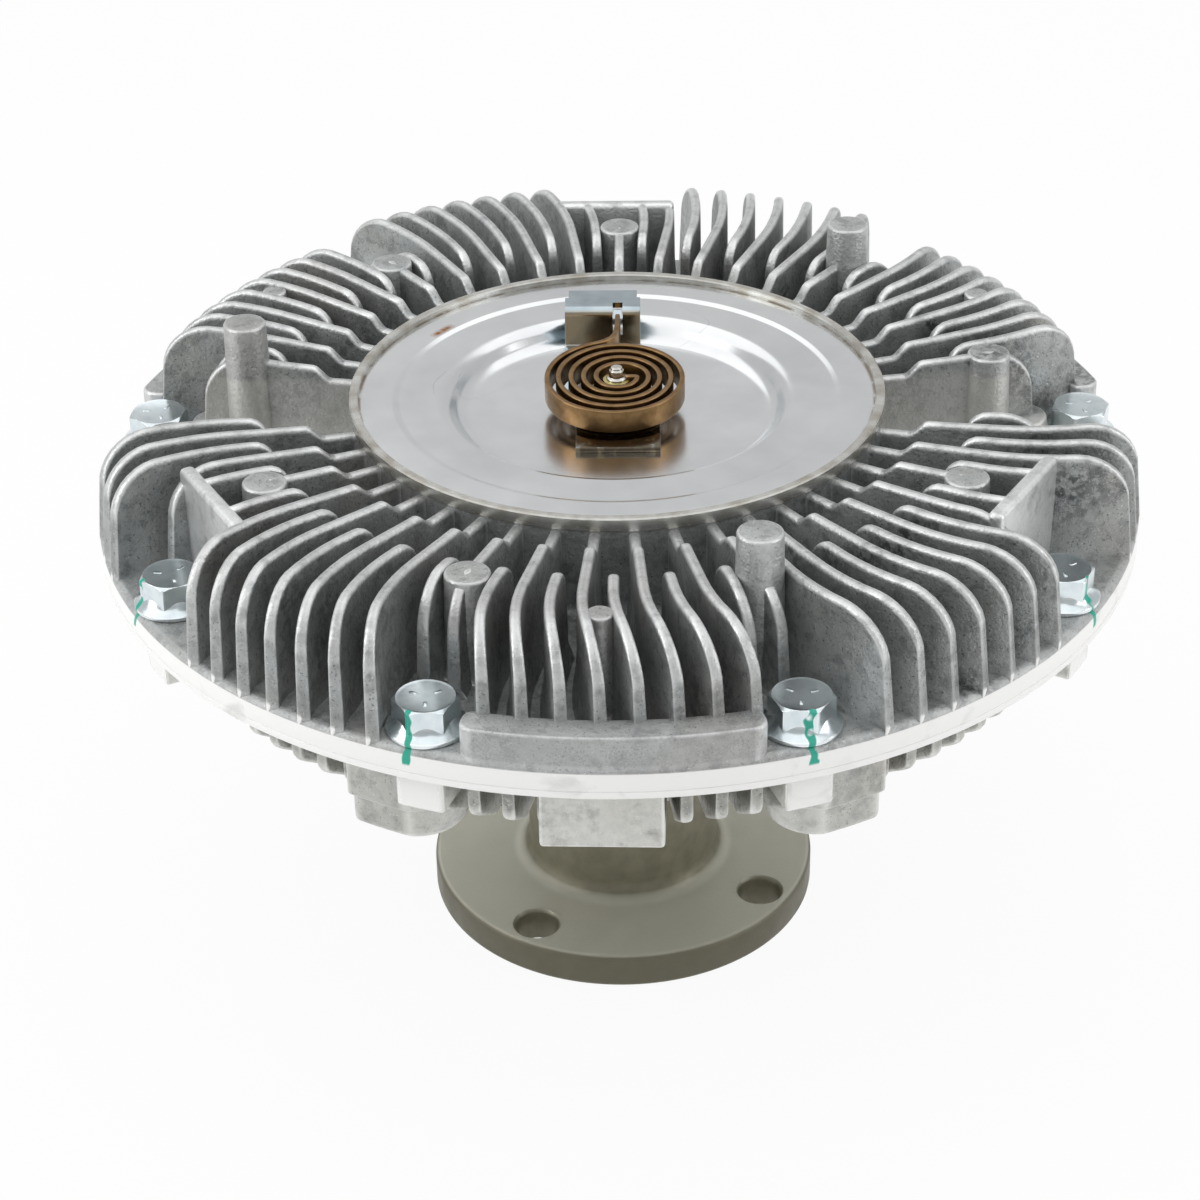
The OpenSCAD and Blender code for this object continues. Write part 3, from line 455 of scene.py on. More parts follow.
# Sand-grey casting of the cover, with paint marks at its edge
COVER_CAST = cast_aluminium("cast_aluminium_cover", "#A2A5A5", "#B7BAB9", "#F0F1F1", 0.3, 0.42, painted=True)
# Casting of the rear housing, slightly warmer
HOUSING_CAST = cast_aluminium("cast_aluminium_housing", "#A9A9A4", "#BCBCB7", "#E8E8E4", 0.55, CAST_METAL)
print("cast finishes:", COVER_CAST.name, HOUSING_CAST.name)

# %% [markdown]
# ## Other metals and rubber
# The bolts and the bracket are zinc plated, the shaft is a phosphated forging and the strip is bimetal.
# They share one recipe: a colour, a second colour for blotches, a roughness and a grain.
# Tints on faces that look one way, painted reflection, painted shade, worn edges and paint are added only
# where a part shows them.

# %% Plainer finishes
# Outer radius of the drive flange
FLANGE_R = 52.5


def plain_finish(name, base, second, rough, metallic=1.0, scale=300.0, grain=(900.0, 0.05), worn=None,
                 painted=None, share=(0.4, 0.68), facing_tint=None, painted_front_reflection=None, painted_edge_shade=None):
    """The facing tint is (axis, sign, colour) of the faces that look that way: a painted reflection of the
    coil on the bracket, and a lighter top on the forging.

    The painted front reflection is (colour, y), a painted reflection of the shaded coil on what lies in
    front of y, and the edge shade is (radius, colour), painted shade on the outer edge.
    """
    material, tree = new_material(name)
    colour = layer(tree, blotch(tree, scale, *share, 5.0), base, second)
    if facing_tint:
        # faces that look along the axis take the colour, on the bracket a painted reflection of the brown
        # coil
        axis, sign, facing_colour = facing_tint
        facing = axes_of(tree, add(tree, "ShaderNodeNewGeometry", out="Normal"))[axis]
        facing_mask = masked(tree, fade(tree, facing, 0.6 * sign, 0.95 * sign), 0.85)
        colour = layer(tree, facing_mask, colour, facing_colour)
    if painted_edge_shade:
        # painted shade: the outer edge takes a darker colour
        rim = fade(tree, ring_places(tree)[0], painted_edge_shade[0] - 0.5, painted_edge_shade[0])
        colour = layer(tree, masked(tree, rim, 0.8), colour, painted_edge_shade[1])
    if painted_front_reflection:
        # painted reflection: parts in front of y take a dark brown for the shaded coil wall that they mirror
        front_reflection_colour, y = painted_front_reflection
        along = axes_of(tree, add(tree, COORDS, out="Object"))["Y"]
        front = fade(tree, along, y * MM, (y - 3) * MM)
        stain_and_painted_reflection = masked(tree, front, blotch(tree, 500.0, 0.1, 0.45))
        colour = layer(tree, stain_and_painted_reflection, colour, front_reflection_colour)
    if worn:
        edge = add(tree, "ShaderNodeAttribute", out="Fac", attribute_name="edge")
        colour = layer(tree, fade(tree, edge, 0.2, 0.9), colour, worn)
    if painted:
        mask = paint_mask(tree, painted)
        colour = layer(tree, mask, colour, TEAL)
        metallic = add(tree, RAMP, {"Value": mask, "To Min": metallic, "To Max": 0.0})
    cloud = blotch(tree, scale * 0.6, 0.3, 0.7)
    roughness = add(tree, RAMP, {"Value": cloud, "To Min": rough * 0.85, "To Max": rough * 1.2})
    height = add(tree, NOISE, {"Vector": add(tree, COORDS, out="Object"), "Scale": grain[0], "Detail": 3.0})
    close_material(tree, colour, roughness, metallic, height, grain[1])
    return material


# Bright zinc plating on the bolts, slightly blue
ZINC = plain_finish("bright_zinc", "#E2EBEE", "#D3DEE3", 0.2, scale=240.0, grain=(500.0, 0.01),
                    worn="#FAFCFD", painted=130.3)
# Thin zinc plating on the bracket and the sheet parts inside, brown on faces that look to the front as a
# painted reflection of the coil, and darker in front of the foot as a painted reflection of the coil's
# shaded wall
BRACKET_ZINC = plain_finish("zinc_sheet", "#BBC7CD", "#A9B6BD", 0.17, scale=160.0, grain=(500.0, 0.01),
                            painted_front_reflection=("#5E564A", -10.0), facing_tint=("Y", -1, "#AA9470"))
# Heat-tinted bronze of the bimetal strip
BIMETAL = plain_finish("heat_tinted_bimetal", "#866A48", "#705636", 0.32, scale=420.0, worn="#B0916A")
# Yellow passivated steel of the spindle
SPINDLE = plain_finish("yellow_passivate", "#C9BE83", "#B5A76A", 0.24, scale=600.0)
# Ground steel of the pin on top of the spindle
SPINDLE_TIP = plain_finish("bright_steel_pin", "#D8D6D0", "#BDBBB5", 0.2, scale=600.0)
# Phosphated forging of the drive shaft, lighter on faces that look up, with painted shade on the flange's
# outer edge
FORGED = plain_finish("phosphated_forging", "#817E6B", "#767360", 0.45, metallic=0.4, scale=260.0,
                      grain=(1300.0, 0.05), worn="#A5A292", facing_tint=("Z", 1, "#DEDDCE"),
                      painted_edge_shade=(FLANGE_R - 0.2, "#5F5C4C"))
# Brass of the spindle bush and the bearing cage
BRASS = plain_finish("sintered_brass", "#B08D4E", "#96763C", 0.4)
# Black seal rubber
RUBBER = plain_finish("seal_rubber", "#1E1E1E", "#2B2A29", 0.6, metallic=0.0)
# Ground bearing steel
BEARING = plain_finish("ground_bearing_steel", "#B9B9B7", "#A5A5A2", 0.16)
# Spring steel of the circlips
SPRING = plain_finish("blued_spring_steel", "#5B5B5E", "#4A4A4C", 0.35)
# Turned alloy of the rotor
ROTOR = plain_finish("turned_rotor_alloy", "#C9C9C6", "#B7B7B4", 0.32)
print("plain finishes:", [m.name for m in (ZINC, BRACKET_ZINC, BIMETAL, SPINDLE, FORGED, BRASS, RUBBER)])

# %% [markdown]
# ## Plate steel
# The pressed plate is a soft mirror with faint turning rings, a few dark scratches, and sealant at the lip.
# The scratches could be cut into the mesh, but they are too thin to matter, so a noise draws them.

# %% Plate finish
# Inner edge of the sealant, and middle of a brown rub: radius and angle in degrees
SEALANT_R, RUB_R, RUB_TURN = 65.1, 58.7, -127.3


def plate_steel():
    material, tree = new_material("pressed_plate_steel")
    radius, angle, _ = ring_places(tree)
    where = add(tree, COORDS, out="Object")
    colour = layer(tree, blotch(tree, 55.0, 0.35, 0.7, 5.0), "#E9EBEC", "#DDDFE1")
    sealant = masked(tree, fade(tree, radius, SEALANT_R, SEALANT_R + 0.5), blotch(tree, 190.0, 0.38, 0.55))
    colour = layer(tree, masked(tree, sealant, 0.75), colour, "#7B6A53")
    # a short brown rub along the ring
    rub = masked(tree, fade(tree, off_from(tree, angle, RUB_TURN), 4.6, 2.0),
                 fade(tree, off_from(tree, radius, RUB_R), 1.5, 0.4), blotch(tree, 420.0, 0.2, 0.5))
    colour = layer(tree, rub, colour, "#96602F")
    brown = add(tree, MATH, {0: sealant, 1: rub}, operation="MAXIMUM")
    # thin dark scratches, drawn where a noise is close to its middle value
    line = add(tree, NOISE, {"Vector": where, "Scale": 24.0, "Detail": 1.0, "Distortion": 0.4})
    scratch = masked(tree, fade(tree, off_from(tree, line, 0.5), 0.0012, 0.0004),
                     blotch(tree, 30.0, 0.56, 0.6), 0.2)
    colour = layer(tree, scratch, colour, "#6B6B6B")
    across = add(tree, "ShaderNodeCombineXYZ", {"X": radius})
    rings = add(tree, NOISE, {"Vector": across, "Scale": 3.0, "Detail": 3.0})
    rough = add(tree, RAMP, {"Value": blotch(tree, 90.0, 0.3, 0.7), "To Min": 0.16, "To Max": 0.21})
    rough = add(tree, MATH, {0: rough, 1: masked(tree, brown, 0.25)}, operation="ADD")
    close_material(tree, colour, rough, 1.0, rings, 0.006)
    return material


PLATE = plate_steel()
print("plate finish:", PLATE.name)

# %% [markdown]
# ## Copies round the axis
# A fin, a post or a bolt is made once and copied by a Geometry Nodes tree.
# The tree stands one copy at each point of a small mesh and turns it by the point's own angle.

# %% Copies by Geometry Nodes


def open_tree(name, sockets):
    """An empty Geometry Nodes tree and the outputs of its entry; sockets are names with their kinds."""
    tree = bpy.data.node_groups.new(name, "GeometryNodeTree")
    for socket, kind in {"Geometry": "Geometry", **sockets}.items():
        tree.interface.new_socket(socket, in_out="INPUT", socket_type="NodeSocket" + kind)
    tree.interface.new_socket("Geometry", in_out="OUTPUT", socket_type="NodeSocketGeometry")
    return tree, tree.nodes.new("NodeGroupInput").outputs


def close_tree(tree, geometry, finish):
    solid = add(tree, "GeometryNodeRealizeInstances", {"Geometry": geometry})
    done = add(tree, "GeometryNodeSetMaterial", {"Geometry": solid, "Material": finish})
    add(tree, "NodeGroupOutput", {"Geometry": done})
    return tree


def grow(mesh, name, tree, values):
    """An object with the mesh that the tree makes from a small one."""
    obj = bpy.data.objects.new(name, mesh)
    bpy.context.scene.collection.objects.link(obj)
    mod = obj.modifiers.new(tree.name, "NODES")
    mod.node_group = tree
    for socket in tree.interface.items_tree:
        if socket.in_out == "INPUT" and socket.name in values:
            mod[socket.identifier] = values[socket.name]
    return baked(obj)


def copies_tree():
    tree, entry = open_tree("copies_round_axis", {"Template": "Object", "Finish": "Material"})
    source = add(tree, "GeometryNodeObjectInfo", {"Object": entry["Template"]}, out="Geometry")
    turn = add(tree, "GeometryNodeInputNamedAttribute", {"Name": "turn"}, data_type="FLOAT")
    spin = add(tree, "ShaderNodeCombineXYZ", {"Z": turn})
    placed = add(tree, "GeometryNodeInstanceOnPoints", {"Points": entry["Geometry"], "Instance": source,
                                                        "Rotation": spin})
    return close_tree(tree, placed, entry["Finish"])


COPIES = copies_tree()


def copies(name, template, places, finish):
    """Places are (x, y, z, turn in degrees); the template is used up."""
    mesh = bpy.data.meshes.new(name)
    mesh.from_pydata([[c * MM for c in p[:3]] for p in places], [], [])
    turn = mesh.attributes.new("turn", "FLOAT", "POINT")
    turn.data.foreach_set("value", [math.radians(p[3]) for p in places])
    obj = grow(mesh, name, COPIES, {"Template": template, "Finish": finish})
    bpy.data.objects.remove(template)
    return obj


print("geometry tree:", COPIES.name)

# %% [markdown]
# ## A fin
# A fin is a blade between a top line and a base line, both given as radius and height.
# It grows thicker downwards, is rounded along its top line and flares into the floor.
# Outside a certain radius the blade bends sideways.

# %% Blade builder
# Radius at which the blades start to bend, and the radius of the bend
BEND_START, BEND_R = 98.0, 67.0
# Depths of the rows of points below the rounded top, and their distances from the foot
ROWS_TOP, ROWS_FOOT = (0, 0.1, 0.35, 0.8, 1.5, 3.4), (6.6, 5.2, 4.45, 4.0, 0.0)
# Blade height below which the rows move together, and the place of one row between, as a share of the height
FULL_HEIGHT, MIDDLE_ROW = 14.0, 0.45
# The flare at the foot fades out towards this radius, over this length
FLARE_END, FLARE_FADE = 129.5, 5.0


def sweep(r):
    return np.where(r > BEND_START, (r - BEND_START) ** 2 / (2 * BEND_R), 0.0)


def blade(name, top, base, half, bend=True, floor=None, tip=1.2, power=2.6, flare=2.0):
    """half(r, z) gives half the thickness; floor(r, z) gives the height above the floor."""
    top, base = np.asarray(top, float), np.asarray(base, float)
    length = np.linalg.norm(base - top, axis=1)
    scale = np.minimum(1.0, length / FULL_HEIGHT)
    rows = [d * scale for d in ROWS_TOP] + [MIDDLE_ROW * length] + [length - e * scale for e in ROWS_FOOT]
    rows = np.maximum.accumulate(np.array(rows), axis=0)
    share = rows / length
    grid = top[None] + (base - top)[None] * share[..., None]
    r, z = grid[..., 0], grid[..., 1]
    depth = np.clip(rows / tip, 0, 1)
    thick = half(r, z) * (1 - (1 - depth) ** power) ** (1 / power)
    if floor is not None:
        y = np.clip(floor(r, z), 0, flare)
        root = flare - np.sqrt(np.maximum(flare ** 2 - (flare - y) ** 2, 0))
        thick = thick + root * np.clip((FLARE_END - r) / FLARE_FADE, 0, 1)
    x = sweep(r) if bend else np.zeros_like(r)
    slope = np.where(r > BEND_START, (r - BEND_START) / BEND_R, 0.0) if bend else np.zeros_like(r)
    norm = np.sqrt(1 + slope ** 2)
    sides = []
    for sign in (1, -1):
        sides.append(np.stack([x + sign * thick / norm, -r + sign * thick * slope / norm, z], -1))
    n_row, n_col = r.shape
    points = np.concatenate([s.reshape(-1, 3) for s in sides])
    second = n_row * n_col
    faces = []
    for i in range(n_row - 1):
        for j in range(n_col - 1):
            a = i * n_col + j
            faces.append((a, a + 1, a + n_col + 1, a + n_col))
            faces.append((second + a, second + a + n_col, second + a + n_col + 1, second + a + 1))
    last = (n_row - 1) * n_col
    for j in range(n_col - 1):
        faces.append((last + j, last + j + 1, second + last + j + 1, second + last + j))
    for j in (0, n_col - 1):
        for i in range(n_row - 1):
            a = i * n_col + j
            faces.append((a, a + n_col, second + a + n_col, second + a))
    obj = piece(name, points, faces, sharp=60)
    return wear_and_hollow_shade(obj)


print("blades bend outside radius", BEND_START, "mm")

# %% [markdown]
# ## Front fins
# Long and short fins alternate round the cover, and their crests rise slightly outwards.
# Long fins start low inside the lip, and short fins start further out with a round corner.
# A fin ends early behind a bolt, a web, a post or a rim segment, and the two side pockets have no fins.
# So one template is made for each kind and length, and copied to its places.

# %% Front fins
# Crest of a fin: two radii, the height at the first and the rise to the second
CREST_IN, CREST_OUT, CREST_LOW, CREST_RISE = 79.7, 119.8, 152.6, 2.4
# Half the thickness of a fin at one height, and how much it grows for each millimetre further down
FIN_HALF, FIN_HALF_Z, FIN_DRAFT = 1.32, 153.0, 0.012
# Long fins: radii before the step, radius and height where it starts and ends
STEP_FLAT, STEP_IN, STEP_OUT = (66.5, 69.0, 72.0, 75.2), (75.6, 149.3), (80.4, 152.7)
# Short fins: radius and round corner of the inner end
SHORT_START, SHORT_ROUND = 89.05, 6.0
# Outer end: corner radius, corner of a straight fin, and how far the edge leans out
FIN_CORNER, SQUARE_CORNER, FIN_LEAN = 12.0, 0.5, 1.5
# Heights of the edge's foot and of the root inside the floor
FIN_FOOT_Z, FIN_ROOT_Z = 127.6, 121.3
# Below the foot the edge runs back inside the floor: share of the lean, and height
FIN_HEEL = [(0.93, 126.4), (0.7, 125.0), (0.4, 123.6)]
# Distance between the points along the crest
CREST_STEP = 3.6


def fin_top(r):
    return CREST_LOW + CREST_RISE * (r - CREST_IN) / (CREST_OUT - CREST_IN)


def fin_half(r, z):
    return FIN_HALF + FIN_DRAFT * (FIN_HALF_Z - z)


def smooth(a, b, n):
    return [(a[0] + (b[0] - a[0]) * t, a[1] + (b[1] - a[1]) * (3 * t * t - 2 * t ** 3))
            for t in (k / n for k in range(n + 1))]


def front_fin(name, short, reach, straight):
    """A straight fin ends square against a web or a post."""
    if short:
        middle = SHORT_START + SHORT_ROUND
        level = fin_top(middle) - SHORT_ROUND
        top = [(SHORT_START, z) for z in (127.0, 133.0, 140.0)]
        top += [(middle - SHORT_ROUND * math.cos(a), level + SHORT_ROUND * math.sin(a))
                for a in np.linspace(0, math.pi / 2, 6)]
    else:
        top = [(r, STEP_IN[1]) for r in STEP_FLAT] + smooth(STEP_IN, STEP_OUT, 6)
    corner = SQUARE_CORNER if straight else FIN_CORNER
    start = reach - corner
    steps = max(3, int((start - top[-1][0]) / CREST_STEP))
    top += [(r, fin_top(r)) for r in np.linspace(top[-1][0], start, steps)[1:]]
    n_before = len(top)
    level = fin_top(start) - corner
    top += [(start + corner * math.sin(a), level + corner * math.cos(a))
            for a in np.linspace(0, math.pi / 2, 3 if straight else 9)][1:]
    low = top[-1]
    drop = [(t, low[1] + (FIN_FOOT_Z - low[1]) * t) for t in (0.2, 0.4, 0.6, 0.8, 1.0)]
    top += [(low[0] + FIN_LEAN * t, z) for t, z in drop + FIN_HEEL]
    base = [(p[0], FIN_ROOT_Z) for p in top[:n_before]]
    rest = len(top) - n_before
    base += [(start + (top[-1][0] - start) * (k / rest) ** 0.8, FIN_ROOT_Z) for k in range(1, rest + 1)]
    if short:
        for k in range(9):
            base[k] = (SHORT_START + SHORT_ROUND * k / 8, FIN_ROOT_Z)
    return blade(name, top, base, fin_half, floor=lambda r, z: z - FLOOR_Z)


print("crest height at radius 100:", round(fin_top(100), 2))

# %% [markdown]
# ## Places of the front fins
# A rule gives the radius at which each fin ends, from the fin's angle and what stands near its outer end.

# %% Places of the front fins
FIN_COUNT = 45
FIN_PITCH = 360 / FIN_COUNT
BOLT_ANGLES = (-140, -100, -60, -20, 20, 60, 100, 140, 180)
# Radius of the outer end: at a post, a web, behind a bolt, beside a web, behind a rim segment, and elsewhere
REACH_POST, REACH_WEB, REACH_BOLT = 97.05, 112.05, 110.05
REACH_BESIDE, REACH_RIM, REACH_FULL = 118.8, 126.1, 131.8
# Turn of a fin's outer end against its inner end, of a web, and of the fin beside it
FIN_TURN, WEB_TURN, BESIDE_TURN = 2.33, 60, 52
# Half angles in which a fin counts as near: a pocket, its edge, a web, a bolt and a rim segment
POCKET_NEAR, POCKET_EDGE, WEB_NEAR, BOLT_NEAR, RIM_HALF = 7, 8, 6.4, 4.8, 15.3


def turn_between(a, b):
    return abs((a - b + 540) % 360 - 180)


def nearest(a, places):
    return min(turn_between(a, b) for b in places)


def fin_reach(a):
    end = a + FIN_TURN
    sides = (POCKET_MID, -POCKET_MID)
    from_web = nearest(a, [t + WEB_TURN for t in THIRDS])
    if nearest(a, sides) < POCKET_NEAR:
        return 0
    if from_web < WEB_NEAR:
        return REACH_POST if from_web < 1 else REACH_WEB
    if nearest(end, BOLT_ANGLES) < BOLT_NEAR or nearest(end, sides) < POCKET_EDGE:
        return REACH_BOLT
    if nearest(end, THIRDS) < RIM_HALF:
        return REACH_RIM
    return REACH_BESIDE if nearest(a, [t + BESIDE_TURN for t in THIRDS]) < 2 else REACH_FULL


fins = []
for kind, first in (("long", FIN_PITCH / 2), ("short", 0.0)):
    angles = [first + FIN_PITCH * k for k in range(FIN_COUNT)]
    for reach in sorted({fin_reach(a) for a in angles} - {0}):
        chosen = [a for a in angles if fin_reach(a) == reach]
        template = front_fin("fin", kind == "short", reach, reach in (REACH_POST, REACH_WEB))
        fins.append(copies(f"fins_{kind}_{reach:.0f}", template, [(0, 0, 0, a) for a in chosen], COVER_CAST))
        print(kind, "fins to radius", reach, "are", len(chosen))
front_fins = join("front_cover_fins", fins)
print("triangles in the fins:", sum(len(p.vertices) - 2 for p in front_fins.data.polygons))

# %% [markdown]
# ## Cover body
# The cover's floor, flange and lip are round all the way, so they are one section turned about the axis.
# An arc rounds the edge above the turned band, and the lip stands free round the plate.

# %% Cover body
# Inside and top of the lip, and the seat below it
LIP_IN, LIP_TOP = 66.0, 153.4
SEAT_R, SEAT_Z = 58.0, 149.8
section = [(LIP_IN, JOINT_Z), (LIP_IN, 123.0), (SEAT_R, 123.0), (SEAT_R, SEAT_Z), (LIP_IN, SEAT_Z),
           (LIP_IN, 153.1), (66.3, LIP_TOP), (67.9, LIP_TOP), (68.3, 153.1), (LIP_OUT, 152.6),
           (LIP_OUT, 150.4), (68.1, 149.9), (67.6, 149.5), (67.9, 140.0), (68.4, 131.0), (68.9, 129.0),
           (69.9, 127.8), (71.6, FLOOR_Z)]
section += [(r, FLOOR_Z) for r in (80, 90, 100, 110, 120, 128)]
section += rounded([(130.6, FLOOR_Z, 0), (133.9, FLOOR_Z, 2.2), (133.9, 124.9, 0)], 6)[1:-1]
section += [(133.93, 124.7), (R_OUT, 124.5), (R_OUT, 122.5), (R_OUT, 121.3), (133.9, 121.07),
            (133.7, JOINT_Z)]
parts = [wear_material(lathe("cover_body", section, 360), COVER_CAST)]
print("points in the cover's section:", len(section))

# %% [markdown]
# ## Posts and webs
# Round posts and three short web walls stand between the fins and were cast with them.
# A post is a turned section that flares into the floor, and a web is a prism with soft edges.

# %% Posts and webs
# Posts and webs start at this height, inside the floor
SUNK_Z = 125.5
# Posts: name, radius, height of the top, distance from the axis and turns within each third
POSTS = (("flush", 5.5, 153.56, 98.0, (-20, 60)), ("tall", 5.5, 163.9, 98.0, (20,)),
         ("small", 3.3, 153.56, 110.0, (-1.5,)), ("low", 7.0, 134.4, 107.5, (-20, 20)))
# Nearer to the front than this angle there are no low posts
BARE_FRONT = 30
# Thickness of a web, its shift along the wall, and how far it runs past the fins on both sides
WEB_T, WEB_SHIFT, WEB_PAST = 4.0, 1.47, 1.2


def post_section(radius, top, draft=0.7, soft=0.7):
    wide = radius + draft
    foot = [(0, SUNK_Z), (wide + 1.6, SUNK_Z), (wide + 1.6, FLOOR_Z), (wide + 0.7, FLOOR_Z + 0.4),
            (wide + 0.2, FLOOR_Z + 1.2), (wide, FLOOR_Z + 2.5)]
    edge = [(radius - soft + soft * math.cos(a), top - soft + soft * math.sin(a))
            for a in np.linspace(0, math.pi / 2, 5)]
    return foot + edge + [(0, top)]


for name, radius, top, at, turns in POSTS:
    template = wear_and_hollow_shade(lathe("post", post_section(radius, top), 40))
    angles = [t + a for t in THIRDS for a in turns if name != "low" or turn_between(t + a, 0) > BARE_FRONT]
    parts.append(copies(f"posts_{name}", template, [(*polar(at, a), a) for a in angles], COVER_CAST))
web_half = REACH_WEB * math.tan(math.radians(FIN_PITCH)) + WEB_PAST
left, right = WEB_SHIFT - web_half, WEB_SHIFT + web_half
near, far = -REACH_WEB - WEB_T / 2, -REACH_WEB + WEB_T / 2
web_plan = [(left, near), (right, near), (right, far), (left, far)]
template = wear_and_hollow_shade(prism("web", web_plan, SUNK_Z, fin_top(REACH_WEB) + 0.05, 1.3))
parts.append(copies("webs", template, [(0, 0, 0, t + WEB_TURN) for t in THIRDS], COVER_CAST))
print("posts and webs:", [part.name for part in parts[1:]])

# %% [markdown]
# ## Rim segments
# Three low walls with rounded ends stand on the cover's edge, in front of shorter fins.
# One end of the plan is drawn and mirrored, so that both ends match.

# %% Rim segments
# Radii and heights of a segment, and the angles at which its outer and inner arcs pass into the round ends
RIM_OUT, RIM_IN, RIM_LOW, RIM_TOP = 133.55, 125.6, 124.5, 135.2
RIM_ARC_OUT, RIM_ARC_IN = 13.6, 13.0
outer = [polar(RIM_OUT, a)[:2] for a in np.linspace(-RIM_ARC_OUT, RIM_ARC_OUT, 36)]
corners = ((RIM_OUT, RIM_ARC_OUT, 0), (RIM_OUT, RIM_HALF, 4.6), (RIM_IN, RIM_HALF, 2.5),
           (RIM_IN, RIM_ARC_IN, 0))
end = rounded([(*polar(r, a)[:2], soft) for r, a, soft in corners], 6)[1:-1]
inner = [polar(RIM_IN, a)[:2] for a in np.linspace(RIM_ARC_IN, -RIM_ARC_IN, 36)]
plan = outer + end + inner + [(-x, y) for x, y in end[::-1]]
template = wear_and_hollow_shade(prism("rim", plan, RIM_LOW, RIM_TOP, 0.8))
parts.append(copies("rims", template, [(0, 0, 0, t) for t in THIRDS], COVER_CAST))
cover = join("front_cover_body", parts)
for obj in (cover, front_fins):
    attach(obj, "housing")
    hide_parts("front_cover")
print("cover body faces:", len(cover.data.polygons))

# %% [markdown]
# ## Cover bolts
# A bolt head is a turned flange with a hexagon whose top corners are cut by a cone.
# Real heads carry digits for their strength, which three short raised strokes stand for.
# Each head is turned by its own angle, because a bolt stops wherever it is tight.

# %% Bolts
# Hexagon: corner radius, width across its flats, and points round it
HEX_R, HEX_FLATS, HEX_POINTS = 8.0, 13.8, 120
# Distance of the bolts from the axis, and how far each head is turned in degrees
BOLT_R = 124
TWISTS = {-20: 3, 20: -5, -60: 22, 60: 4, 100: 12, -100: 20, 140: 8, -140: 25, 180: 15}


def bolt():
    flange = lathe("flange", [(0, -15.9), (3.2, -15.9), (4, -15.1), (4, 0.02), (9.0, 0.02), (9.45, 0.25),
                              (9.55, 0.7), (9.5, 1.1), (9.15, 1.4), (8.2, 2.0), (7.4, 2.9), (6.9, 4.0),
                              (0, 4.0)], 60)
    n = HEX_POINTS
    angles = np.arange(n) * 2 * math.pi / n
    facet = (angles + math.pi / 6) % (math.pi / 3) - math.pi / 6
    hexagon = np.minimum(HEX_FLATS / 2 / np.cos(facet), HEX_R - 0.12)
    levels = [1.6, 2.6, 3.6, 5.0, 6.4, 7.2, 7.6, 7.72, 7.84, 7.96, 8.08, 8.2, 8.3]
    # a cone cuts the corners, and the top is slightly dished
    outlines = [(np.minimum(hexagon, 8.1 - 1.7 * max(0, z - 7.64)), z) for z in levels]
    outlines += [(np.full(n, r), z) for r, z in ((6.85, 8.37), (6.5, 8.33), (6.0, 8.26))]
    rings = [np.stack([r * np.sin(angles), -r * np.cos(angles), np.full(n, z)], -1) for r, z in outlines]
    last = (len(rings) - 1) * n
    faces = [(i * n + j, i * n + (j + 1) % n, (i + 1) * n + (j + 1) % n, (i + 1) * n + j)
             for i in range(len(rings) - 1) for j in range(n)]
    faces += [tuple(range(n))[::-1], tuple(range(last, last + n))]
    head = piece("hexagon", np.concatenate(rings), faces, sharp=25)
    stroke = rounded([(-0.45, -4.3, 0.4), (0.45, -4.3, 0.4), (0.45, -2.2, 0.4), (-0.45, -2.2, 0.4)])
    marks = []
    for angle in THIRDS:
        mark = prism("mark", stroke, 8.1, 8.39, 0.12)
        mark.data.transform(Matrix.Rotation(math.radians(angle), 4, "Z"))
        marks.append(mark)
    return wear_and_hollow_shade(join("bolt", [flange, head] + marks))


places = [(*polar(BOLT_R, a, FLOOR_Z), TWISTS[a]) for a in BOLT_ANGLES]
bolts = copies("cover_bolts_skin", bolt(), places, ZINC)
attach(bolts, "housing")
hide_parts("cover_bolts")
print("bolts:", len(BOLT_ANGLES))

# %% [markdown]
# ## Rear housing
# The rear casting has a hub and a floor with straight radial fins, long and short in turn.
# The body is one turned section, and both fins come from the same blade builder as the front ones.

# %% Rear housing body and fins
section = rounded([(40.0, 57.2, 0.6), (50.0, 57.2, 1.5), (50.0, 100.0, 4.0), (105.5, 100.0, 3.0),
                   (120.0, 111.5, 2.0), (120.0, 119.1, 1.5), (R_OUT, 119.1, 0.4), (R_OUT, JOINT_Z, 0.08),
                   (106.5, JOINT_Z, 0.5), (106.5, 106.0, 1.0), (36.0, 106.0, 0.4), (36.0, 94.0, 0.4),
                   (40.0, 94.0, 0)], 4)
parts = [wear_material(lathe("housing_body", section, 240), HOUSING_CAST)]
# Free edge of a rear fin: its height and the round corner at its inner end
REAR_Z, REAR_ROUND = 93.0, 2.0
# Half the thickness at the free edge, and how much it grows for each millimetre towards the wall
REAR_HALF, REAR_DRAFT = 1.25, 0.03
# Outer end of a rear fin: points of the free edge and the matching points inside the wall
FIN_END = (((107.0, 93.0), (105.4, 101.8)), ((110.0, 94.9), (107.2, 103.4)), ((113.5, 97.3), (109.0, 105.0)),
           ((116.8, 99.5), (111.5, 107.0)), ((118.2, 100.6), (113.5, 109.0)),
           ((118.85, 101.8), (115.0, 110.5)), ((119.0, 104.0), (116.0, 111.5)),
           ((119.0, 108.0), (117.0, 112.5)), ((119.0, 112.4), (117.6, 113.6)))


def rear_half(r, z):
    return REAR_HALF + REAR_DRAFT * np.clip(z - REAR_Z, 0, 10)


def rear_fin(start):
    top = [(start, REAR_Z + 6), (start, REAR_Z + 3)]
    top += [(start + REAR_ROUND * (1 - math.cos(a)), REAR_Z + REAR_ROUND - REAR_ROUND * math.sin(a))
            for a in np.linspace(0.2, math.pi / 2, 5)]
    top += [(r, REAR_Z) for r in np.linspace(start + 4, 104, 6)]
    base = [(p[0], REAR_Z + 8.5) for p in top]
    return blade("rear_fin", top + [e[0] for e in FIN_END], base + [e[1] for e in FIN_END], rear_half,
                 bend=False, tip=1.1)


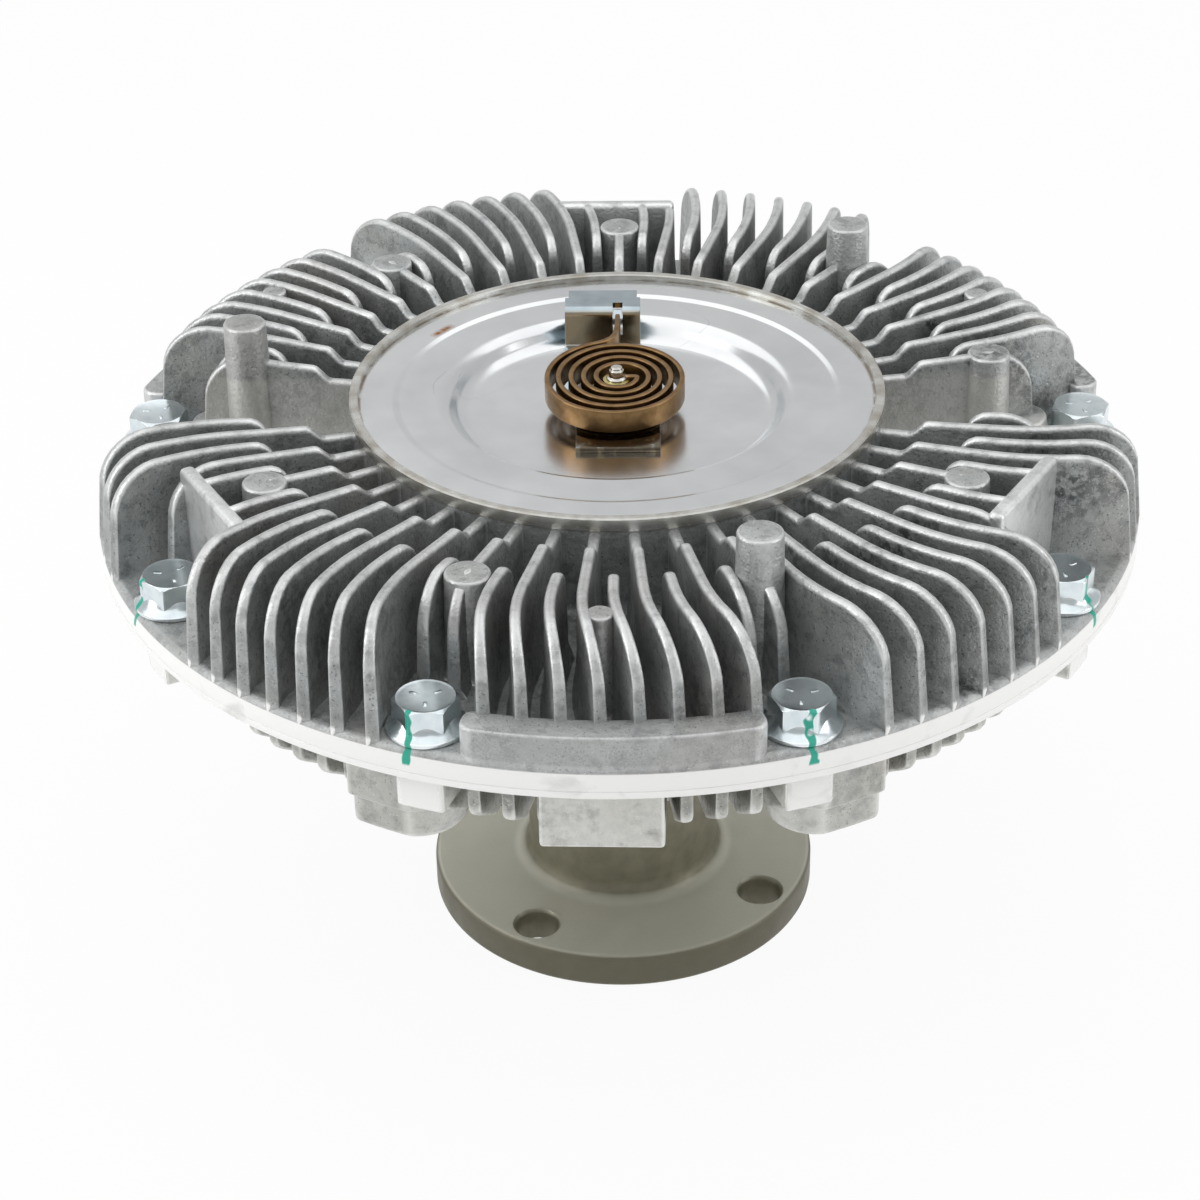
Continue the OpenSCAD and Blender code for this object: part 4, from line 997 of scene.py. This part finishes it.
for start, first in ((58.0, FIN_PITCH / 2), (84.0, 0.0)):
    places = [(0, 0, 0, first + FIN_PITCH * k) for k in range(FIN_COUNT)]
    parts.append(copies("rear_fins", rear_fin(start), places, HOUSING_CAST))
print("rear housing so far:", [part.name for part in parts])

# %% [markdown]
# ## Tabs, pads and bosses
# A tab stands under each cover bolt, a pad between two bolts, and the fan is screwed to six round bosses.
# Left and right bosses mirror each other, so one outline is drawn for both.

# %% Tabs, pads and bosses
# Top of tabs, pads and bosses, inside the flange
CAST_TOP = 119.6
# Half the width of tabs and pads, and the turn of the pads
TAB_HALF, PAD_HALF, PAD_TURN = 5.9, 14.6, -1.5
# Bosses: distance from the axis, and turn from the middle of a third
BOSS_AT, BOSS_TURN = 107.5, 26
# Lays a drawn side view upright: its first axis becomes y and its second z
ACROSS = Matrix(((0, 0, 1, 0), (1, 0, 0, 0), (0, 1, 0, 0), (0, 0, 0, 1)))


def on_circle(r, x):
    return (x, -math.sqrt(r * r - x * x))


def boss_plan(side, half, edge, start, turn, steps):
    """A corner, an arc along the housing's edge, and a round of radius half about the boss."""
    plan = [(half * side, start)] + [(x * side, on_circle(edge, x)[1]) for x in np.linspace(half, 0, 8)]
    return plan + [(-half * math.sin(a) * side, max(-edge, -BOSS_AT - half * math.cos(a)))
                   for a in np.linspace(0, turn, steps)[1:]]


tab_plan = [on_circle(TAB_R, x) for x in np.linspace(-TAB_HALF, TAB_HALF, 8)]
tab_plan += [(TAB_HALF, -117.5), (-TAB_HALF, -117.5)]
tab = wear_and_hollow_shade(prism("tab", tab_plan, 108.2, CAST_TOP, 0.9))
parts.append(copies("tabs", tab, [(0, 0, 0, b) for b in BOLT_ANGLES], HOUSING_CAST))
pad_side = [(-119.5, 95.0), (-119.5, CAST_TOP), (-108.0, CAST_TOP), (-108.0, 103.0), (-100.0, 103.0),
            (-100.0, 95.0)]
pad = prism("pad", pad_side, -PAD_HALF, PAD_HALF, 1.0)
pad.data.transform(ACROSS)
parts.append(copies("pads", wear_and_hollow_shade(pad), [(0, 0, 0, t + PAD_TURN) for t in THIRDS], HOUSING_CAST))
for side in (1, -1):
    boss = prism("boss", boss_plan(side, 12, 119.0, -95.5, math.pi, 20), 90.0, 103.0, 1.8)
    hole = lathe("hole", [(0, 80), (4.8, 80), (4.8, 90.2), (4, 91), (4, 100), (0, 100)], 40)
    hole.data.transform(Matrix.Translation(Vector((0, -BOSS_AT * MM, 0))))
    cut(boss, hole)
    block_up = prism("boss_top", boss_plan(side, 12.8, 119.8, -108.0, 1.53, 12), 98.0, CAST_TOP, 0.9)
    places = [(0, 0, 0, t + side * BOSS_TURN) for t in THIRDS]
    parts.append(copies("bosses", wear_and_hollow_shade(join("boss", [boss, block_up])), places, HOUSING_CAST))
housing = join("rear_housing_skin", parts)
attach(housing, "housing")
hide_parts("rear_housing")
print("rear housing faces:", len(housing.data.polygons))

# %% [markdown]
# ## Drive shaft
# The forging is turned with soft edges, and its four flange holes are cut with rounded mouths.

# %% Drive shaft
# Flange holes: number, distance from the axis and turn of the first one
HOLE_COUNT, HOLE_AT, HOLE_TURN = 4, 44, 58.5
section = rounded([(0, 4, 0), (20, 4, 0.5), (20, 0, 0.8), (FLANGE_R, 0, 1.5), (FLANGE_R, 10, 1.5),
                   (26, 10, 5), (26, 62, 0.5), (20, 62, 0), (20, 94, 0), (17, 94, 0.3), (17, 116, 0),
                   (15.5, 116, 0), (15.5, 117.4, 0), (17, 117.4, 0), (17, 120.4, 0.4), (0, 120.4, 0)], 5)
shaft = lathe("drive_shaft_skin", section, 144)
holes = []
for k in range(HOLE_COUNT):
    hole = lathe("hole", [(0, -3), (7.4, -3), (6.55, 0), (5.95, 0.5), (5.75, 1.1), (5.75, 8.9), (5.95, 9.5),
                          (6.55, 10), (7.4, 13), (0, 13)], 48)
    place = [c * MM for c in polar(HOLE_AT, HOLE_TURN + 360 / HOLE_COUNT * k)]
    hole.data.transform(Matrix.Translation(Vector(place)))
    holes.append(hole)
cut(shaft, *holes)
wear_material(shaft, FORGED)
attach(shaft, "drive")
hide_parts("drive_shaft")
print("drive shaft faces:", len(shaft.data.polygons))

# %% [markdown]
# ## Front plate
# The plate is a pressed sheet with a shallow step and a dish.
# Its face is drawn once and given a thickness.

# %% Front plate
# Height of the dish, and thickness of the sheet
DISH_Z, PLATE_T = 146.5, 2.0
face = rounded([(65.98, 151.8, 0), (57.2, 151.8, 2.0), (55.8, 151.3, 2.0), (43.8, 151.3, 4.6),
                (40.0, DISH_Z, 4.6), (6.52, DISH_Z, 0)], 6)
section = face + [(r, z - PLATE_T) for r, z in face[::-1]]
plate = wear_material(lathe("front_plate_skin", section, 240), PLATE)
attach(plate, "housing")
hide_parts("front_plate")
print("front plate faces:", len(plate.data.polygons))

# %% [markdown]
# ## Spring bracket
# The bracket is a folded strap with a foot under the coil and a slotted tab that holds the coil's outer end.
# Its side view is one prism, and blocks cut the slot and the narrow end.

# %% Spring bracket
BRACKET_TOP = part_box("spring_bracket")[1].z / MM
STRAP_T = 1.5
profile = rounded([(0, DISH_Z, 0), (35.5, DISH_Z, 2.0), (35.5, BRACKET_TOP - STRAP_T, 0),
                   (46, BRACKET_TOP - STRAP_T, 0.3), (46, BRACKET_TOP, 0.3), (34, BRACKET_TOP, 2.0),
                   (34, DISH_Z + STRAP_T, 0.3), (0, DISH_Z + STRAP_T, 0)], 6)
wall = prism("bracket_wall", profile, -14, 6, 0.22, 2)
wall.data.transform(ACROSS)


def block(name, x0, x1, y0, y1, z0, z1, soft=0.0):
    return prism(name, [(x0, y0), (x1, y0), (x1, y1), (x0, y1)], z0, z1, soft, 2)


cut(wall, block("slot", -1.3, 1.3, 32, 38.2, 151, 170), block("left", -15, -13.1, 41.4, 48, 150, 170),
    block("right", 5.1, 7, 41.4, 48, 150, 170))
foot = block("bracket_foot", -10.2, 11.1, -23, 18.5, DISH_Z, DISH_Z + STRAP_T + 0.02, 0.3)
collar = lathe("collar", [(0, 140), (8.2, 140), (8.2, 152), (0, 152)], 60)
cut(foot, collar)
tongue_side = [(34.6, BRACKET_TOP - 0.3), (33.4, BRACKET_TOP - 1.0), (31.6, 156.9), (32.1, 156.4),
               (34.2, 156.8), (36.0, BRACKET_TOP - 0.9)]
tongue = prism("tongue", tongue_side, -1.15, 1.15, 0.2, 2)
tongue.data.transform(ACROSS)
bracket = wear_material(join("spring_bracket_skin", [wall, foot, tongue]), BRACKET_ZINC)
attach(bracket, "housing")
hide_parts("spring_bracket")
print("bracket top in mm:", round(BRACKET_TOP, 2))

# %% [markdown]
# ## Bimetal coil
# The strip follows a flat spiral, so a second Geometry Nodes tree sweeps its section along the line.
# The coil leans a little towards the front, and its outer end runs into the bracket's slot.

# %% Coil by Geometry Nodes
# Thickness, height and rounded edge of the strip
STRIP_T, STRIP_H, STRIP_ROUND = 1.4, 5.9, 0.35
# Spiral: turns, points in a turn, first radius, growth with each turn and largest radius
COIL_TURNS, COIL_STEPS, COIL_IN, COIL_PITCH, COIL_OUT = 4.686, 72, 4.4, 3.05, 17.75
# Sideways shift of the inner end, and the turn at which the shift is gone
COIL_SHIFT, SHIFT_END = 0.8, 4.75
# Top of the coil at the axis, its slope, and how far back the slope goes on
COIL_TOP, COIL_SLOPE, SLOPE_END = 156.4, 0.062, 16.0


def coil_line():
    points = [(2.3, 0.0), (3.6, 0.1), (4.7, 0.05), (5.2, -0.25)]
    for i in range(3, int(COIL_TURNS * COIL_STEPS) + 1):
        t = i / COIL_STEPS
        x, y = polar(min(COIL_IN + COIL_PITCH * t, COIL_OUT), 90 - 360 * t)[:2]
        points.append((x + COIL_SHIFT * (1 - t / SHIFT_END), y))
    points += [(-4.9, 17.35), (-3.1, 18.5), (-1.7, 19.9), (-0.8, 21.6), (-0.35, 23.5), (-0.15, 26.0),
               (0.0, 29.0), (0.0, 32.0), (0.0, 36.4)]
    middle = COIL_TOP - STRIP_H / 2
    return [(x, y, middle + COIL_SLOPE * min(y, SLOPE_END)) for x, y in points]


def strip_tree():
    sockets = {"Thickness": "Float", "Height": "Float", "Finish": "Material"}
    tree, entry = open_tree("strip_along_line", sockets)
    curve = add(tree, "GeometryNodeMeshToCurve", {"Mesh": entry["Geometry"]})
    curve = add(tree, "GeometryNodeSetCurveNormal", {"Curve": curve}, mode="Z_UP")
    profile = add(tree, "GeometryNodeCurvePrimitiveQuadrilateral", {"Width": entry["Thickness"],
                                                                    "Height": entry["Height"]})
    profile = add(tree, "GeometryNodeFilletCurve", {"Curve": profile, "Radius": STRIP_ROUND * MM, "Count": 3,
                                                    "Limit Radius": True}, mode="POLY")
    swept = add(tree, "GeometryNodeCurveToMesh", {"Curve": curve, "Profile Curve": profile,
                                                  "Fill Caps": True})
    return close_tree(tree, swept, entry["Finish"])


STRIP = strip_tree()
line = np.array(coil_line())
arc = np.concatenate([[0], np.cumsum(np.linalg.norm(np.diff(line, axis=0), axis=1))])
mesh = bpy.data.meshes.new("coil")
mesh.from_pydata((line * MM).tolist(), [(i, i + 1) for i in range(len(line) - 1)], [])
share = mesh.attributes.new("share", "FLOAT", "POINT")
share.data.foreach_set("value", (arc / arc[-1]).astype(np.float32))
values = {"Thickness": STRIP_T * MM, "Height": STRIP_H * MM, "Finish": BIMETAL}
coil = grow(mesh, "bimetal_coil_skin", STRIP, values)
shade(coil, 50)
wear_and_hollow_shade(coil)
print("coil box in mm:", [round(v * 1000, 2) for v in coil.dimensions])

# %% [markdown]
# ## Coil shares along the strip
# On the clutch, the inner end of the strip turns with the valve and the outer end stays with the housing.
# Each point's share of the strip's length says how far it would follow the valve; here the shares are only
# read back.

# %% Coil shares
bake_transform(coil)
shares = np.zeros(len(coil.data.vertices), np.float32)
coil.data.attributes["share"].data.foreach_get("value", shares)
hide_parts("bimetal_coil")
print("coil weights from", round(float((1 - shares).max()), 3), "to", round(float((1 - shares).min()), 3))

# %% [markdown]
# ## Spindle
# The spindle's head shows in the middle of the coil with a bright pin on top.

# %% Spindle
section = [(0, 147.9), (3.75, 147.9), (3.75, 154.9), (3.45, 155.4), (2.2, 155.5), (1.9, 155.5), (0, 155.5)]
head = lathe("spindle_head", section, 48)
slot = block("slot", 1.3, 5.0, -0.9, 0.9, 149.0, 160.0)
cut(head, slot)
section = rounded([(0, 123.4, 0), (3, 123.4, 0.3), (3, 134.6, 0), (5, 134.6, 0.2), (5, 136.1, 0.2),
                   (3, 136.1, 0), (3, 148.2, 0), (0, 148.2, 0)], 2)
shank = lathe("spindle_shank", section, 48)
spindle = wear_material(join("valve_spindle_skin", [head, shank]), SPINDLE)
section = rounded([(0, 155.0, 0), (2.6, 155.0, 0), (2.6, 155.9, 0.3), (1.9, 156.2, 0.2), (1.9, 158.0, 0.3),
                   (1.5, 158.3, 0.2), (1.5, 158.85, 0.3), (0, 158.85, 0)], 3)
pin = wear_material(lathe("spindle_pin", section, 40), SPINDLE_TIP)
for obj in (spindle, pin):
    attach(obj, "valve")
    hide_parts("valve_spindle")
print("spindle height in mm:", round(spindle.dimensions.z * 1000, 1))

# %% [markdown]
# ## Finishes of the parts taken over from CAD
# Parts inside the clutch keep their CAD shape and take a finish.

# %% Finishes of CAD parts
CAD_FINISH = {"bearing_inner_ring": BEARING, "bearing_outer_ring": BEARING, "bearing_balls": BEARING,
              "bearing_cage": BRASS, "rotor": ROTOR, "rotor_circlip": SPRING, "bearing_circlip": SPRING,
              "housing_seal": RUBBER, "bearing_seal_lower": RUBBER, "bearing_seal_upper": RUBBER,
              "separator_plate": BRACKET_ZINC, "separator_rivets": ROTOR, "spindle_bush": BRASS,
              "valve_arm": BRACKET_ZINC, "spindle_seal": RUBBER}
for name, finish in CAD_FINISH.items():
    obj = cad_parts[name]
    obj.data.materials.clear()
    obj.data.materials.append(finish)
print("CAD parts with a finish:", len(CAD_FINISH))

# %% [markdown]
# ## Stage and light
# A pale floor and a soft grey sky, brighter at the back, light the clutch from all sides.
# Three softboxes give it shape.
# The floor is nearly white to the camera and in the metal, and keeps a faint shadow under the flange.

# %% Stage and light
# Half the width of the floor, and how far it lies below the flange, in millimetres
FLOOR_HALF, FLOOR_DROP = 20000, 0.2
# Share of the floor's own white to the camera, and the strength of the sky in front and at the back
FLOOR_GLOW, SKY_FRONT, SKY_BACK = 0.93, 0.5, 0.63
scene = bpy.context.scene
scene.view_settings.view_transform = "Standard"
corners = ((-1, -1), (1, -1), (1, 1), (-1, 1))
floor = piece("floor", [(x * FLOOR_HALF, y * FLOOR_HALF, 0) for x, y in corners], [(0, 1, 2, 3)])
floor.location.z = -FLOOR_DROP * MM
material, tree = new_material("pale_floor")
path = tree.nodes.new("ShaderNodeLightPath")
matt = add(tree, "ShaderNodeBsdfDiffuse", {"Color": linear("#F2F2F2")})
glow = add(tree, "ShaderNodeEmission", {"Color": (1, 1, 1, 1), "Strength": 1.0})
seen = path.outputs["Is Camera Ray"]
for kind in ("Is Glossy Ray", "Is Transmission Ray"):
    seen = add(tree, MATH, {0: seen, 1: path.outputs[kind]}, operation="MAXIMUM")
mixed = add(tree, "ShaderNodeMixShader", {0: masked(tree, seen, FLOOR_GLOW), 1: matt, 2: glow})
add(tree, "ShaderNodeOutputMaterial", {"Surface": mixed})
floor.data.materials.append(material)

world = bpy.data.worlds.new("studio")
scene.world = world
world.use_nodes = True
tree = world.node_tree
tree.nodes.clear()
depth = axes_of(tree, add(tree, COORDS, out="Generated"))["Y"]
glow = add(tree, RAMP, {"Value": depth, "From Min": -0.5, "From Max": 0.75,
                        "To Min": SKY_FRONT, "To Max": SKY_BACK})
sky = add(tree, "ShaderNodeBackground", {"Color": (1, 1, 1, 1), "Strength": glow})
add(tree, "ShaderNodeOutputWorld", {"Surface": sky})


def softbox(name, place, aim, size, power):
    data = bpy.data.lights.new(name, "AREA")
    data.shape, data.size, data.size_y, data.energy = "RECTANGLE", size[0], size[1], power
    obj = bpy.data.objects.new(name, data)
    scene.collection.objects.link(obj)
    obj.location = place
    obj.rotation_mode = "QUATERNION"
    obj.rotation_quaternion = (Vector(aim) - Vector(place)).to_track_quat("-Z", "Y")
    return obj


softbox("key_top", (-0.1, 0.05, 1.0), (0, 0, 0.1), (1.9, 1.9), 7.6)
softbox("left_side", (-0.95, -0.3, 0.5), (0, 0, 0.12), (0.5, 0.9), 3.0)
softbox("right_side", (0.95, -0.25, 0.45), (0, 0, 0.12), (0.5, 0.9), 2.1)
print("softboxes:", [light.name for light in bpy.data.lights])

# %% [markdown]
# ## Camera
# The camera stands where the photograph was taken.
# Its place, roll and lens were fitted to the photograph.

# %% Camera
# Angle above the floor, roll, and turn about the clutch's axis
PHI, ROLL, ROT = math.radians(31.53), math.radians(-1.04), math.radians(-1.28)
# Point that the camera looks at, its distance, the width of the sensor and the focal length, in millimetres
AIM, DISTANCE, SENSOR, LENS = Vector((-5.25, 0, 89.31)), 792.89, 36.0, 89.19
back = Vector((0, -math.cos(PHI), math.sin(PHI)))
right, up = Vector((1, 0, 0)), Vector((0, math.sin(PHI), math.cos(PHI)))
across = math.cos(ROLL) * right + math.sin(ROLL) * up
upward = -math.sin(ROLL) * right + math.cos(ROLL) * up
place = AIM * MM + back * DISTANCE * MM
spin = Matrix.Rotation(-ROT, 3, "Z")
axes = Matrix([spin @ across, spin @ upward, spin @ back]).transposed()
camera = bpy.data.objects.new("camera", bpy.data.cameras.new("camera"))
camera.data.sensor_width, camera.data.lens = SENSOR, LENS
camera.matrix_world = Matrix.Translation(spin @ place) @ axes.to_4x4()
scene.collection.objects.link(camera)
scene.camera = camera
print("camera at", [round(v, 3) for v in camera.location])
